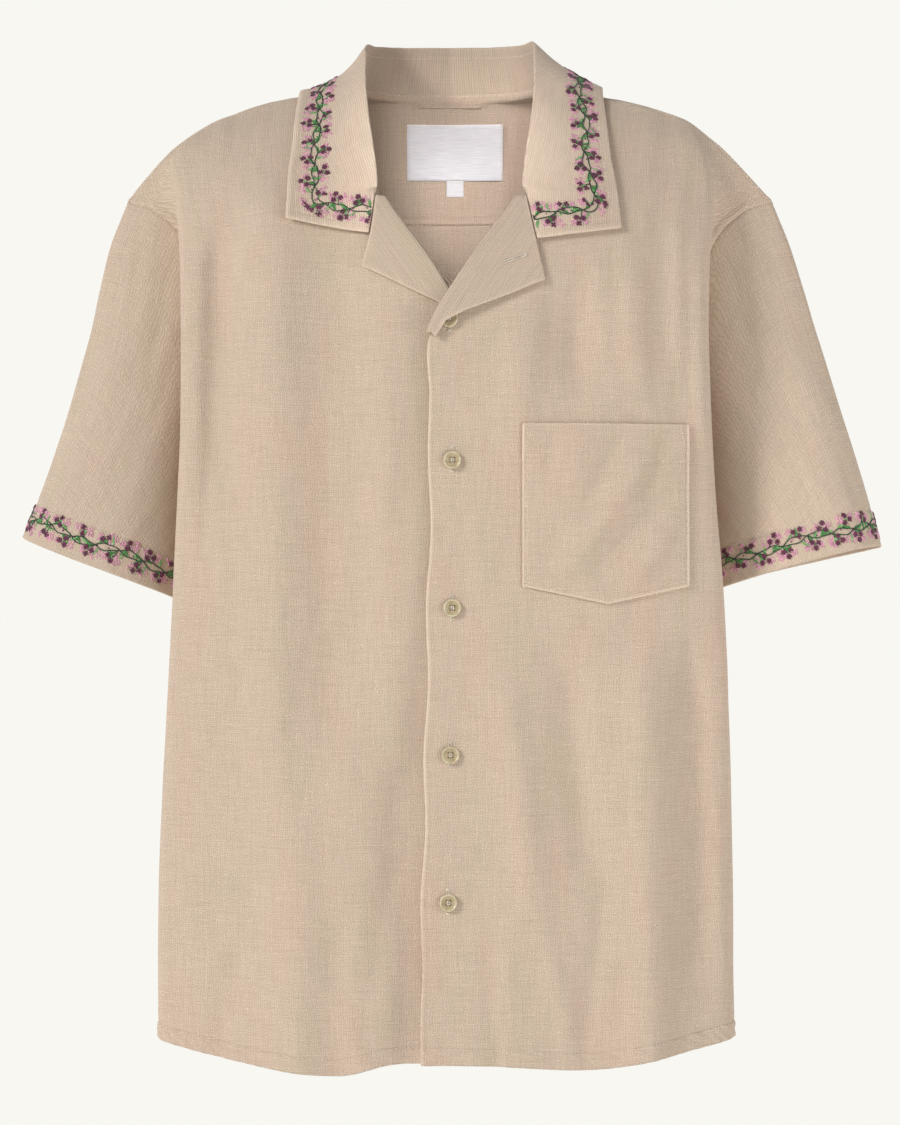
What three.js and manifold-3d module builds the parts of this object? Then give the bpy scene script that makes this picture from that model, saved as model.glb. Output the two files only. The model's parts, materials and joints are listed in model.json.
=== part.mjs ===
// Camp-collar shirt with short sleeves, worn form with nobody in it: two fronts with turned-out
// lapels, a yoke, a back, two sleeves, a one-piece collar, a chest pocket, five buttons and two
// plain labels. Millimetres; +Z up, the front faces -Y, and the origin is midway between the
// points where the neck seam crosses the shoulders. "Side" is +1 for the wearer's left, at +X.
import * as THREE from "three";
import Module from "manifold-3d";

const wasm = await Module();
wasm.setup();

// ---------- Driving dimensions ----------
const CLOTH = 1.2; // wall of the single cloth
const HEM = 1.8; // wall of the cloth where it is turned up
const TURNED = 2.0; // collar and lapels: two layers and their stiffening
const SEAM_GAP = 0.3; // between two pieces that are sewn together
const MITRE = 0.4; // extra room where two walls meet at an angle
const UNDERARM_MITRE = 1.6; // the same where the sleeve turns sharply away from the body
const LAID_ON = 1.9; // a pocket's middle surface above its panel's: two half walls and a gap

const BUTTON = { radius: 6.6, rim: 1.1, thick: 2.6, dish: 0.7, hole: 0.85, holeOut: 1.45, sides: 16 };
const POCKET = { left: 53.5, right: 177.5, top: -257, side: -377, pointX: 116, point: -390, puff: 2.2 };
const LABEL = { x: 4, wide: 76, top: -13, high: 43, thick: 1.0 };
const LABEL_ROOM = 1.2; // between the yoke and the labels
const SIZE_TAB = { x: 4, wide: 13.5, high: 12, thick: 1.0 };

const NECK_TURN = 0.78; // share of the neck seam, from the middle of the back, that is the yoke's
const GORGE = 0.86; // share of the collar's length at which its roll runs out at the lapel

// ---------- Tables ----------
const table = (names, rows) => rows.map((row) => Object.fromEntries(names.map((n, i) => [n, row[i]])));

// One half of the front, a row for each level from hem (t 0) to shoulder seam (t 1). Each level
// runs from the front edge (c) over the chest to the corner fold (k), back into the tuck beside
// the arm (t) and out to the side seam or armhole (s). bow and drop say how late y and z change
// between c and k. On the wearer's right wide is added to the corner and tip to the tuck's x, and
// recess sets the edge back where it passes under the other front.
const FRONT_COLUMNS = [
  "t", "xc", "yc", "zc", "xk", "yk", "zk", "xt", "yt", "zt", "xs", "ys", "zs", "wide", "recess", "bow", "drop", "tip",
];
const FRONT = table(FRONT_COLUMNS, [
  [0.0, -21, -119, -731, 221, -62, -715, 206, -26, -711, 200, -2, -710, 6, 5.5, 2.4, 4, 0],
  [0.18, -18.5, -123, -600, 219, -65, -597, 205, -30, -595, 199, -2, -594, 7, 5.0, 2.4, 2, 0],
  [0.34, -16, -126, -480, 217, -68, -479, 198, -33, -478, 190, -2, -478, 4, 5.0, 2.4, 2, 0],
  [0.475, -14.5, -127, -380, 213, -70, -380, 189, -36, -380, 179, -2, -380, 3, 5.0, 2.4, 2, 0],
  [0.585, -13, -127, -300, 207, -71, -300, 184, -36, -300, 175, -2, -300, 5, 5.0, 2.4, 2, 0],
  [0.675, -14.5, -127, -235, 203, -69, -232, 183, -34, -235, 176, -2, -235, 7, 6.0, 2.4, 2, 0],
  [0.735, -14, -125, -190, 202, -65, -182, 184, -30, -188, 184, -14, -190, 8, 7.5, 2.3, 2, 0],
  [0.81, 16, -116, -137, 202, -58, -130, 189, -26, -140, 192, -20, -146, 8, 6.5, 2.2, 2, 0],
  [0.885, 55, -91, -81, 203, -48, -87, 196, -22, -101, 204, -20, -112, 9, 0, 2.0, 1.6, 0],
  [0.945, 71, -52, -30, 196, -36, -49, 204, -20, -76, 226, -17, -91, 18, 0, 1.6, 1.9, 0],
  [1.0, 78, -16, -2, 186, -15, -24, 216, -13, -50, 247, -8, -84, -2, 0, 1.2, 2.1, 7],
]);
const UNDERARM = 0.675; // the level where the side seam ends and the armhole starts
const BREAK = 0.735; // the level where the lapel starts to turn out
const COLLAR_END = 0.885; // the level where the roll line meets the neck seam

// One half of the back and the yoke, from hem (t 0) over the shoulder to the yoke's front seam.
const BACK_COLUMNS = ["t", "xc", "yc", "zc", "xk", "yk", "zk", "xt", "yt", "zt", "xs", "ys", "zs", "wide", "bow", "drop", "tip"];
const BACK = table(BACK_COLUMNS, [
  [0.0, 0, 104, -735, 212, 56, -722, 206, 22, -712, 200, -2, -710, 5, 2.4, 4, 0],
  [0.18, 0, 104, -600, 212, 58, -597, 205, 26, -595, 199, -2, -594, 5, 2.4, 2, 0],
  [0.34, 0, 103, -480, 208, 60, -479, 197, 28, -478, 190, -2, -478, 5, 2.4, 2, 0],
  [0.475, 0, 105, -380, 201, 62, -380, 188, 30, -380, 179, -2, -380, 5, 2.4, 2, 0],
  [0.585, 0, 109, -300, 197, 63, -300, 184, 30, -300, 175, -2, -300, 5, 2.4, 2, 0],
  [0.675, 0, 113, -235, 196, 61, -233, 183, 28, -235, 176, -2, -235, 5, 2.4, 2, 0],
  [0.74, 0, 114, -190, 198, 56, -188, 188, 26, -190, 186, 10, -190, 5, 2.4, 2, 0],
  [0.81, 0, 113, -140, 201, 51, -138, 196, 28, -142, 198, 17, -146, 4, 2.4, 2, 0],
  [0.87, 0, 108, -90, 207, 44, -92, 211, 28, -102, 219, 18, -110, 3, 2.3, 2, 0],
  [0.91, 0, 98, -40, 208, 38, -75, 218, 24, -90, 232, 13, -98, 2, 2.0, 2.2, 0],
  [0.94, 0, 80, 4, 192, 30, -45, 219, 16, -64, 240, 8, -91, 0, 1.6, 2.2, 4],
  [0.958, 42, 71, 4, 188, 18, -33, 219, 10, -56, 244, 4, -88, -1, 1.3, 2.4, 7],
  [0.978, 72, 38, 5, 187, 6, -24.5, 220, 3, -51, 248, 0, -85.5, -2, 1.1, 2.5, 7],
  [1.0, 78, -16, -2, 186, -15, -24, 216, -13, -50, 247, -8, -84, -2, 1.2, 2.1, 7],
]);
const YOKE_SEAM = 0.87;
const BACK_NECK = 0.94;

// Where the front's hem hangs lower: its place, its reach towards the middle and towards the
// side, and its depth.
const HEM_DIPS = table(["side", "x", "inward", "outward", "deep"], [
  [-1, -84, 28, 95, 10.5],
  [1, 110, 60, 60, 6.5],
]);

// Places between the edge (0) and the corner fold (1) at which a level has a control point.
const CHEST_SHARES = [0, 0.25, 0.5, 0.75, 0.92, 1];

// The main folds of the fronts and the back, as seen from the front: a straight run from (x0, z0)
// to (x1, z1), its half width, and how far it stands out (+) or in (-). x is the row's own X.
const FOLD_COLUMNS = ["x0", "z0", "x1", "z1", "half", "out"];
const FRONT_FOLDS = table(FOLD_COLUMNS, [
  [-172, -70, -174, -330, 9, -4],
  [-136, -50, -130, -560, 21, 5],
  [-88, -60, -86, -520, 20, -4.5],
  [-126, -500, -120, -735, 22, 4],
  [-82, -450, -76, -735, 18, 2.5],
  [-16, -400, -17, -735, 28, -3.5],
  [52, -150, 50, -300, 13, 3],
  [94, -120, 96, -260, 15, -4],
  [134, -90, 140, -260, 12, 3],
  [34, -420, 72, -660, 14, 3.5],
  [80, -400, 106, -620, 14, -4],
  [144, -400, 148, -735, 20, 5],
  [182, -400, 186, -700, 10, -3],
  [186, -80, 190, -300, 9, 2.5],
]);
const BACK_FOLDS = table(FOLD_COLUMNS, [
  [-150, -120, -140, -735, 20, -6],
  [-95, -140, -80, -735, 24, 5],
  [-25, -120, -35, -735, 22, -4],
  [38, -110, 30, -735, 22, 4],
  [92, -140, 100, -735, 22, -5],
  [150, -120, 146, -735, 20, 6],
]);
const FOLD_FADE = 70; // length over which a fold runs out at each end

// The collar's cross-sections, from the middle of the back (u 0) to its front end (u 1): its roll
// (r), the middle of its fall (m) and its outer edge (e). tilt, dx and dz are half of what the
// wearer's left side of the fall has over the right: the middle's z, and the edge's x and depth.
const COLLAR_COLUMNS = ["u", "xr", "yr", "zr", "xm", "ym", "zm", "xe", "ye", "ze", "tilt", "dx", "dz"];
const COLLAR = table(COLLAR_COLUMNS, [
  [0.0, 0, 77, 47, 0, 93, 22, 0, 100, -10, 0, 0, 0],
  [0.22, 38, 69, 46.5, 45, 85, 22, 51, 93, -9, 1, 0, 0],
  [0.42, 57, 45, 44.5, 73, 57, 20.5, 92, 65, 0.8, 4, 0, 0],
  [0.56, 63.5, 14, 42, 87, 19, 15, 113.5, 20, 6.2, 6, 1.5, -1],
  [0.66, 64, -16, 24, 88, -24, 3, 116, -22, -5, 3, 0.5, -0.5],
  [0.76, 62, -54, -14, 88, -62, -34, 118, -58, -46, 0, 0.5, 1],
  [0.86, 54.5, -98, -80, 88, -90, -82, 121, -83, -80, 0, 1, 2],
  [1.0, 68, -112, -120.5, 96, -105, -115.5, 124, -97, -109, 0, 1.5, 3.5],
]);
const FALL_LIFT = 4.2; // the collar's fall above the front where it lies on it
const NECK_LIFT = 1.9; // the collar's lower edge above the neck seam

// The lapels' free edges in front view, a row for each level of the front's edge from the break by
// the point to the notch and on up the seam with the collar, and how far they stand above the
// front. The wearer's left one (x, z) crosses over the other (xr, zr).
const LAPEL_COLUMNS = ["t", "x", "z", "lift", "xr", "zr", "liftr"];
const LAPEL = table(LAPEL_COLUMNS, [
  [0.735, -11, -193, 5.8, -10, -190, 3.7],
  [0.752, -3.5, -181, 6.2, -2, -174, 3.4],
  [0.77, 11, -173.5, 5.8, 10, -166, 3.4],
  [0.79, 27, -167.5, 4.8, 27, -158, 3.2],
  [0.81, 47, -160, 3.8, 45, -149, 3.0],
  [0.83, 69, -150, 3.0, 64, -139.5, 3.0],
  [0.848, 62.8, -121.3, 4.2, 58.0, -115.6, 4.2],
  [0.875, 56.0, -89, 4.4, 54.6, -88, 4.4],
]);
const NOTCH = 0.848; // the level of the row at the notch
const LAPEL_TOP = 0.875;
const LAPEL_ROLL = 2.3; // radius of the soft turn along the roll line

// The sleeves' hems: the ends of the opening seen from the front, its depth, and how much its
// front and back rise above the line between the ends, near the body and near the outer end.
const SLEEVE_COLUMNS = ["side", "xIn", "zIn", "xOut", "zOut", "front", "back", "riseIn", "riseOut", "backIn", "backOut"];
const SLEEVES = table(SLEEVE_COLUMNS, [
  [1, 199, -383, 330.5, -347.5, -48, 42, 5, 5.5, 4.5, -0.5],
  [-1, 200, -391, 327.5, -340, -48, 42, 2.5, -1, -2, 1],
]);
// How far the outer line bows out on its way from the shoulder (v 0) to the hem (v 1), on the
// wearer's left and right.
const SLEEVE_BOWS = table(["v", "left", "right"], [
  [0, 0, 0],
  [0.13, 2.4, 2],
  [0.26, 2.7, 0],
  [0.4, 2.4, -3],
  [0.6, 2.4, -4.5],
  [0.75, 2.2, -4.5],
  [0.88, 1.5, -3],
  [1, 0, 0],
]);
const SLEEVE_UNDER = 6; // how far its inner line stands off the body below the underarm

const BUTTON_LEVELS = [-180, -284, -393, -501.5, -610.6];
const BUTTON_LINE = [-0.7, 1.5, 1.5, 0, -1.5];

const COLOURS = {
  cloth: 0xc9b094,
  button: 0xcbb98f,
  label: 0xe3e0e4,
};

// ---------- Curves ----------
const mix = (a, b, w) => a + (b - a) * w;
const smooth = (w) => w * w * (3 - 2 * w);
const clamp01 = (w) => Math.min(1, Math.max(0, w));

// A smooth curve through one column of a table, against the column named by key.
function along(rows, name, at, key = "t") {
  const last = rows.length - 1;
  let i = 0;
  while (i < last - 1 && at > rows[i + 1][key]) i += 1;
  const slope = (j) => {
    const a = Math.max(0, j - 1);
    const b = Math.min(last, j + 1);
    return (rows[b][name] - rows[a][name]) / (rows[b][key] - rows[a][key]);
  };
  const span = rows[i + 1][key] - rows[i][key];
  const w = (at - rows[i][key]) / span;
  const w2 = w * w;
  const w3 = w2 * w;
  return (
    (2 * w3 - 3 * w2 + 1) * rows[i][name] +
    (w3 - 2 * w2 + w) * span * slope(i) +
    (3 * w2 - 2 * w3) * rows[i + 1][name] +
    (w3 - w2) * span * slope(i + 1)
  );
}

// Weights of a clamped uniform cubic B-spline with n control points.
function splineWeights(n, s) {
  const knot = (i) => Math.min(n - 3, Math.max(0, i - 3));
  const x = Math.min(n - 3 - 1e-9, Math.max(0, s * (n - 3)));
  const span = Math.floor(x) + 3;
  let weights = new Array(n + 4).fill(0);
  weights[span] = 1;
  for (let degree = 1; degree <= 3; degree += 1) {
    const next = new Array(n + 4).fill(0);
    for (let i = span - degree; i <= span; i += 1) {
      const left = knot(i + degree) - knot(i);
      const right = knot(i + degree + 1) - knot(i + 1);
      next[i] = (left > 0 ? ((x - knot(i)) / left) * weights[i] : 0) +
        (right > 0 ? ((knot(i + degree + 1) - x) / right) * weights[i + 1] : 0);
    }
    weights = next;
  }
  return weights.slice(0, n);
}

function splinePoint(controls, s) {
  const weights = splineWeights(controls.length, s);
  const point = new THREE.Vector3();
  controls.forEach((c, i) => point.addScaledVector(c, weights[i]));
  return point;
}

// ---------- The body's surface ----------
// The side seam and the armhole are separate curves, as are the middle of the back and the neck
// seam: a column is one curve up to the corner and another above it.
function cornered(rows, name, t, cornerLevel) {
  const corner = rows.findIndex((row) => row.t === cornerLevel);
  if (corner < 0) return along(rows, name, t);
  return along(t <= cornerLevel ? rows.slice(0, corner + 1) : rows.slice(corner), name, t);
}

function foldDepth(folds, x, z) {
  let out = 0;
  for (const fold of folds) {
    const share = clamp01((z - fold.z0) / (fold.z1 - fold.z0));
    const off = (x - mix(fold.x0, fold.x1, share)) / fold.half;
    const rise = clamp01((fold.z0 - z) / FOLD_FADE);
    const fall = fold.z1 < -700 ? 1 : clamp01((z - fold.z1) / FOLD_FADE);
    out += fold.out * Math.exp(-off * off) * smooth(rise) * smooth(fall);
  }
  return out;
}

// A point of a half shell: rows is FRONT or BACK, s runs from its centre edge (0) to its seam (1).
function shellPoint(rows, side, s, t) {
  const v = (name) => along(rows, name, t);
  const wider = side < 0 ? v("wide") : 0;
  const back = side < 0 && rows === FRONT ? v("recess") : 0;
  const [xc, yc, zc] = ["xc", "yc", "zc"].map((name) => cornered(rows, name, t, BACK_NECK));
  const [xk, yk, zk] = ["xk", "yk", "zk"].map(v);
  const controls = CHEST_SHARES.map((w) => new THREE.Vector3(
    mix(xc, xk + wider, w),
    mix(yc + back, yk, w ** v("bow")),
    mix(zc, zk, w ** v("drop")),
  ));
  controls.push(new THREE.Vector3(v("xt") + (side < 0 ? v("wide") * 0.5 + v("tip") : 0), v("yt"), v("zt")));
  controls.push(new THREE.Vector3(...["xs", "ys", "zs"].map((name) => cornered(rows, name, t, UNDERARM))));
  const point = splinePoint(controls, s);
  point.x *= side;
  const facing = rows === FRONT ? -1 : 1;
  const folds = rows === FRONT ? FRONT_FOLDS : BACK_FOLDS;
  const edgeFade = smooth(clamp01((1 - s) / 0.25)) * (rows === FRONT ? smooth(clamp01(s / 0.08)) : 1);
  point.y += facing * edgeFade * foldDepth(folds, point.x, point.z);
  const dip = HEM_DIPS.find((row) => row.side === side);
  if (rows === FRONT && t < 0.1) {
    const off = side * (point.x - dip.x);
    point.z -= dip.deep * Math.exp(-((off / (off < 0 ? dip.inward : dip.outward)) ** 2)) * (1 - smooth(t / 0.1));
  }
  return point;
}

// The shell's outward normal.
function shellNormal(rows, side, s, t) {
  const step = 0.004;
  const across = shellPoint(rows, side, Math.min(1, s + step), t).sub(shellPoint(rows, side, Math.max(0, s - step), t));
  const up = shellPoint(rows, side, s, Math.min(1, t + step)).sub(shellPoint(rows, side, s, Math.max(0, t - step)));
  const normal = across.cross(up).normalize();
  return normal.multiplyScalar(Math.sign(normal.y) === (rows === FRONT ? -1 : 1) ? 1 : -1);
}

// The shell's parameters at a place given in front view.
function shellAt(rows, side, x, z, from = [0.35, 0.6]) {
  let [s, t] = from;
  const step = 1e-3;
  for (let round = 0; round < 40; round += 1) {
    const p = shellPoint(rows, side, s, t);
    const [ex, ez] = [x - p.x, z - p.z];
    if (Math.hypot(ex, ez) < 1e-3) break;
    const ps = shellPoint(rows, side, s + step, t);
    const pt = shellPoint(rows, side, s, t + step);
    const [a, b, c, d] = [ps.x - p.x, pt.x - p.x, ps.z - p.z, pt.z - p.z].map((value) => value / step);
    const det = a * d - b * c;
    s = Math.min(0.98, Math.max(0.0, s + Math.max(-0.15, Math.min(0.15, (d * ex - b * ez) / det))));
    t = Math.min(0.995, Math.max(0.0, t + Math.max(-0.1, Math.min(0.1, (a * ez - c * ex) / det))));
  }
  return [s, t];
}

// A point above the shell at a place given in front view.
function aboveShell(rows, side, x, z, lift, from) {
  const [s, t] = shellAt(rows, side, x, z, from);
  return shellPoint(rows, side, s, t).addScaledVector(shellNormal(rows, side, s, t), lift);
}

// ---------- Walls ----------
// A grid of points as { points, quads }; wrap closes it into a tube.
function grid(columns, rows, pointAt, wrap = false) {
  const points = [];
  for (let j = 0; j < rows; j += 1) for (let i = 0; i < columns; i += 1) points.push(pointAt(i, j));
  const quads = [];
  const across = wrap ? columns : columns - 1;
  for (let j = 0; j + 1 < rows; j += 1) {
    for (let i = 0; i < across; i += 1) {
      const k = (i + 1) % columns;
      quads.push([j * columns + i, j * columns + k, (j + 1) * columns + k, (j + 1) * columns + i]);
    }
  }
  return { points, quads };
}

// Moves the first or last row or column of a grid towards its neighbour, to leave room at a seam.
function drawBack(sheet, columns, rows, edge, distance) {
  const places = {
    first: () => Array.from({ length: columns }, (_, i) => [i, columns + i]),
    last: () => Array.from({ length: columns }, (_, i) => [(rows - 1) * columns + i, (rows - 2) * columns + i]),
    left: () => Array.from({ length: rows }, (_, j) => [j * columns, j * columns + 1]),
    right: () => Array.from({ length: rows }, (_, j) => [(j + 1) * columns - 1, (j + 1) * columns - 2]),
  }[edge]();
  places.forEach(([outer, inner], k) => {
    const way = sheet.points[inner].clone().sub(sheet.points[outer]);
    sheet.points[outer].addScaledVector(way.normalize(), distance(k));
  });
  return sheet;
}

// Joins sheets where their points coincide.
function weld(...sheets) {
  const found = new Map();
  const points = [];
  const quads = [];
  for (const sheet of sheets) {
    const place = sheet.points.map((p) => {
      const key = [p.x, p.y, p.z].map((value) => Math.round(value * 100)).join();
      if (!found.has(key)) {
        found.set(key, points.length);
        points.push(p);
      }
      return found.get(key);
    });
    quads.push(...sheet.quads.map((quad) => quad.map((i) => place[i])));
  }
  return { points, quads };
}

// A wall of the given thickness, half on each side of a sheet.
function wall(sheet, thickness) {
  const { points, quads } = sheet;
  const thick = typeof thickness === "function" ? thickness : () => thickness;
  const normals = points.map(() => new THREE.Vector3());
  const used = new Map();
  for (const quad of quads) {
    const normal = points[quad[2]].clone().sub(points[quad[0]]).cross(points[quad[3]].clone().sub(points[quad[1]]));
    quad.forEach((i, k) => {
      normals[i].add(normal);
      used.set(i + ">" + quad[(k + 1) % 4], [i, quad[(k + 1) % 4]]);
    });
  }
  const n = points.length;
  const positions = new Float32Array(n * 6);
  points.forEach((p, i) => {
    const out = normals[i].normalize().multiplyScalar(thick(i) / 2);
    p.clone().add(out).toArray(positions, i * 3);
    p.clone().sub(out).toArray(positions, (n + i) * 3);
  });
  const index = [];
  const face = (a, b, c, d) => index.push(a, b, c, a, c, d);
  for (const [a, b, c, d] of quads) {
    face(a, b, c, d);
    face(n + d, n + c, n + b, n + a);
  }
  for (const [a, b] of used.values()) if (!used.has(b + ">" + a)) face(b, a, n + a, n + b);
  const geometry = new THREE.BufferGeometry();
  geometry.setAttribute("position", new THREE.BufferAttribute(positions, 3));
  geometry.setIndex(index);
  return geometry;
}

// ---------- Assembly ----------
const shirt = new THREE.Group();
const finishes = {
  cloth: new THREE.MeshStandardMaterial({ color: COLOURS.cloth, roughness: 0.92, metalness: 0 }),
  button: new THREE.MeshStandardMaterial({ color: COLOURS.button, roughness: 0.38, metalness: 0 }),
  label: new THREE.MeshStandardMaterial({ color: COLOURS.label, roughness: 0.6, metalness: 0 }),
};
function add(name, geometry, finish = "cloth") {
  const mesh = new THREE.Mesh(geometry, finishes[finish].clone());
  mesh.name = name;
  shirt.add(mesh);
  return mesh;
}
const sideName = (side) => (side > 0 ? "left" : "right");

// Samples of s: closer together round the corner fold.
const ACROSS = [
  0, 0.04, 0.085, 0.135, 0.19, 0.25, 0.31, 0.37, 0.43, 0.49, 0.55, 0.61, 0.67, 0.725, 0.775, 0.825, 0.87, 0.915, 0.96, 1,
];
const LEVELS_BODY = [0, 0.018, 0.06, 0.12, 0.18, 0.24, 0.3, 0.36, 0.42, 0.475, 0.53, 0.585, 0.635];
const LEVELS_FRONT = [
  ...LEVELS_BODY, UNDERARM, 0.705, BREAK, 0.752, 0.77, 0.79, 0.81, 0.83, 0.848, 0.863, 0.875, COLLAR_END, 0.915, 0.945, 0.975, 1,
];
const LEVELS_BACK = [...LEVELS_BODY, UNDERARM, 0.71, 0.74, 0.775, 0.81, 0.84, YOKE_SEAM];
const LEVELS_YOKE = [YOKE_SEAM, 0.89, 0.91, 0.925, BACK_NECK, 0.958, 0.978, 0.989, 1];

// How far a panel stays back from the armhole, or from the side seam under it.
function armholeRoom(t) {
  if (t < UNDERARM) return SEAM_GAP / 2 + MITRE / 2;
  return SEAM_GAP / 2 + mix(UNDERARM_MITRE, MITRE, smooth(clamp01((t - 0.8) / 0.1)));
}

const hemWall = (columns) => (i) => (i < columns * 2 ? HEM : CLOTH);

function front(side) {
  const [columns, rows] = [ACROSS.length, LEVELS_FRONT.length];
  const sheet = grid(columns, rows, (i, j) => shellPoint(FRONT, side, ACROSS[i], LEVELS_FRONT[j]));
  drawBack(sheet, columns, rows, "right", (j) => armholeRoom(LEVELS_FRONT[j]));
  drawBack(sheet, columns, rows, "last", () => SEAM_GAP / 2 + MITRE);
  return wall(sheet, hemWall(columns));
}

function backHalf(side, levels) {
  const [columns, rows] = [ACROSS.length, levels.length];
  const sheet = grid(columns, rows, (i, j) => shellPoint(BACK, side, ACROSS[i], levels[j]));
  if (side < 0) sheet.quads = sheet.quads.map((quad) => [...quad].reverse());
  drawBack(sheet, columns, rows, "right", (j) => armholeRoom(levels[j]));
  drawBack(sheet, columns, rows, levels[0] === 0 ? "last" : "first", () => SEAM_GAP / 2);
  if (levels[0] !== 0) drawBack(sheet, columns, rows, "last", () => SEAM_GAP / 2 + MITRE);
  return sheet;
}

for (const side of [1, -1]) add("front_" + sideName(side), front(side));
add("back", wall(weld(backHalf(1, LEVELS_BACK), backHalf(-1, LEVELS_BACK)), CLOTH));
add("yoke", wall(weld(backHalf(1, LEVELS_YOKE), backHalf(-1, LEVELS_YOKE)), CLOTH));

// ---------- Sleeves ----------
// The armhole as a closed loop from the underarm up the front, over the shoulder and down the back.
function armhole(side) {
  const up = LEVELS_FRONT.filter((t) => t >= UNDERARM).map((t) => shellPoint(FRONT, side, 1, t));
  const over = LEVELS_YOKE.slice(0, -1).reverse().map((t) => shellPoint(BACK, side, 1, t));
  const down = LEVELS_BACK.filter((t) => t > UNDERARM && t < YOKE_SEAM).reverse().map((t) => shellPoint(BACK, side, 1, t));
  return [...up, ...over, ...down];
}

const ALONG_SLEEVE = [0, 0.1, 0.22, 0.35, 0.48, 0.61, 0.74, 0.87, 0.9, 1];

function sleeve({ side, xIn, zIn, xOut, zOut, front: yFront, back: yBack, riseIn, riseOut, backIn, backOut }) {
  const loop = armhole(side);
  const lengths = loop.map((p, i) => p.distanceTo(loop[(i + 1) % loop.length]));
  const whole = lengths.reduce((a, b) => a + b, 0);
  let run = 0;
  const shares = lengths.map((length) => {
    const share = run / whole;
    run += length;
    return share;
  });
  const tip = shares[LEVELS_FRONT.filter((t) => t >= UNDERARM).length];
  const hemPoint = (share) => {
    const turn = share < tip ? (share / tip) * Math.PI : Math.PI * (1 + (share - tip) / (1 - tip));
    const w = (1 - Math.cos(turn)) / 2;
    const depth = Math.sin(turn) > 0 ? yFront : yBack;
    const swing = Math.abs(Math.sin(turn));
    return new THREE.Vector3(
      side * mix(xIn, xOut, w),
      -4 + (depth + 4) * swing,
      mix(zIn, zOut, w) + (depth < 0 ? mix(riseIn, riseOut, w) : mix(backIn, backOut, w)) * swing,
    );
  };
  const columns = loop.length;
  const rows = ALONG_SLEEVE.length;
  const sheet = grid(columns, rows, (i, j) => {
    const v = ALONG_SLEEVE[j];
    const point = loop[i].clone().lerp(hemPoint(shares[i]), v);
    const bow = along(SLEEVE_BOWS, sideName(side), v, "v");
    point.x += side * bow * Math.exp(-(((shares[i] - tip) / 0.16) ** 2));
    const under = 1 - smooth(clamp01(Math.min(shares[i], 1 - shares[i]) / 0.3));
    point.x += side * SLEEVE_UNDER * Math.sin(Math.PI * v ** 0.6) * under;
    return point;
  }, true);
  drawBack(sheet, columns, rows, "first", (i) => {
    const fromUnderarm = Math.min(shares[i], 1 - shares[i]);
    return SEAM_GAP / 2 + mix(UNDERARM_MITRE * 2, MITRE, smooth(clamp01((fromUnderarm - 0.15) / 0.15)));
  });
  return wall(sheet, (i) => (i >= columns * (rows - 2) ? HEM : CLOTH));
}
for (const row of SLEEVES) add("sleeve_" + sideName(row.side), sleeve(row));

// ---------- Collar ----------
// The neck seam from the middle of the back round to the lapel, then up over the lapel's gorge.
function neckPoint(side, u) {
  if (u <= GORGE * NECK_TURN) {
    return shellPoint(BACK, side, 0, mix(BACK_NECK, 1, u / (GORGE * NECK_TURN)));
  }
  if (u <= GORGE) {
    return shellPoint(FRONT, side, 0, mix(1, COLLAR_END, (u / GORGE - NECK_TURN) / (1 - NECK_TURN)));
  }
  const w = (u - GORGE) / (1 - GORGE);
  const [x, z] = lapelEdge(side, mix(LAPEL_TOP, NOTCH, w));
  return aboveShell(FRONT, side, side * (x + TURNED / 2 + SEAM_GAP), z, FALL_LIFT, [0.05, 0.86]);
}

function lapelEdge(side, t) {
  const names = side > 0 ? ["x", "z", "lift"] : ["xr", "zr", "liftr"];
  const i = Math.min(LAPEL.length - 2, Math.max(0, LAPEL.findIndex((row) => row.t >= t - 1e-9) - 1));
  const w = (t - LAPEL[i].t) / (LAPEL[i + 1].t - LAPEL[i].t);
  return names.map((name) => mix(LAPEL[i][name], LAPEL[i + 1][name], w));
}

function collarSection(side, u) {
  const v = (name) => along(COLLAR, name, u, "u");
  const laid = smooth(clamp01((u - 0.66) / 0.08));
  const neck = neckPoint(side, u);
  const place = (letter) => {
    const shift = letter === "m" ? [0, side * v("tilt")] : [side * v("dx"), -side * v("dz")];
    const [x, y, z] = [side * (v("x" + letter) + shift[0]), v("y" + letter), v("z" + letter) + shift[1]];
    const free = new THREE.Vector3(x, y, z);
    if (laid === 0) return free;
    return free.lerp(aboveShell(FRONT, side, x, z, FALL_LIFT, [0.3, 0.88]), laid);
  };
  const [middle, edge] = ["m", "e"].map(place);
  if (u > GORGE) {
    const shares = [0, 0.08, 0.16, 0.26, 0.4, 0.7, 1];
    return shares.map((w) => aboveShell(
      FRONT, side, mix(neck.x, edge.x, w), mix(neck.z, edge.z, w), FALL_LIFT, [0.2, 0.87],
    ));
  }
  const roll = new THREE.Vector3(side * v("xr"), v("yr"), v("zr") + side * v("tilt") * 0.2);
  neck.addScaledVector(roll.clone().sub(neck).normalize(), NECK_LIFT);
  return [
    neck, neck.clone().lerp(roll, 0.5), roll.clone().lerp(neck, 0.16), roll,
    roll.clone().lerp(middle, 0.16), middle, edge,
  ];
}

const COLLAR_AROUND = [0, 0.08, 0.16, 0.24, 0.32, 0.39, 0.46, 0.52, 0.58, 0.64, 0.7, 0.75, 0.8, 0.83, GORGE, 0.9, 0.95, 1];
const COLLAR_ACROSS = [0, 0.14, 0.28, 0.38, 0.45, 0.52, 0.6, 0.7, 0.85, 1];

function collar() {
  const stations = [...COLLAR_AROUND.slice(1).reverse().map((u) => [-1, u]), ...COLLAR_AROUND.map((u) => [1, u])];
  const sections = stations.map(([side, u]) => collarSection(side, u));
  const sheet = grid(stations.length, COLLAR_ACROSS.length, (i, j) => splinePoint(sections[i], COLLAR_ACROSS[j]));
  return wall(sheet, TURNED);
}
add("collar", collar());

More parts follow.
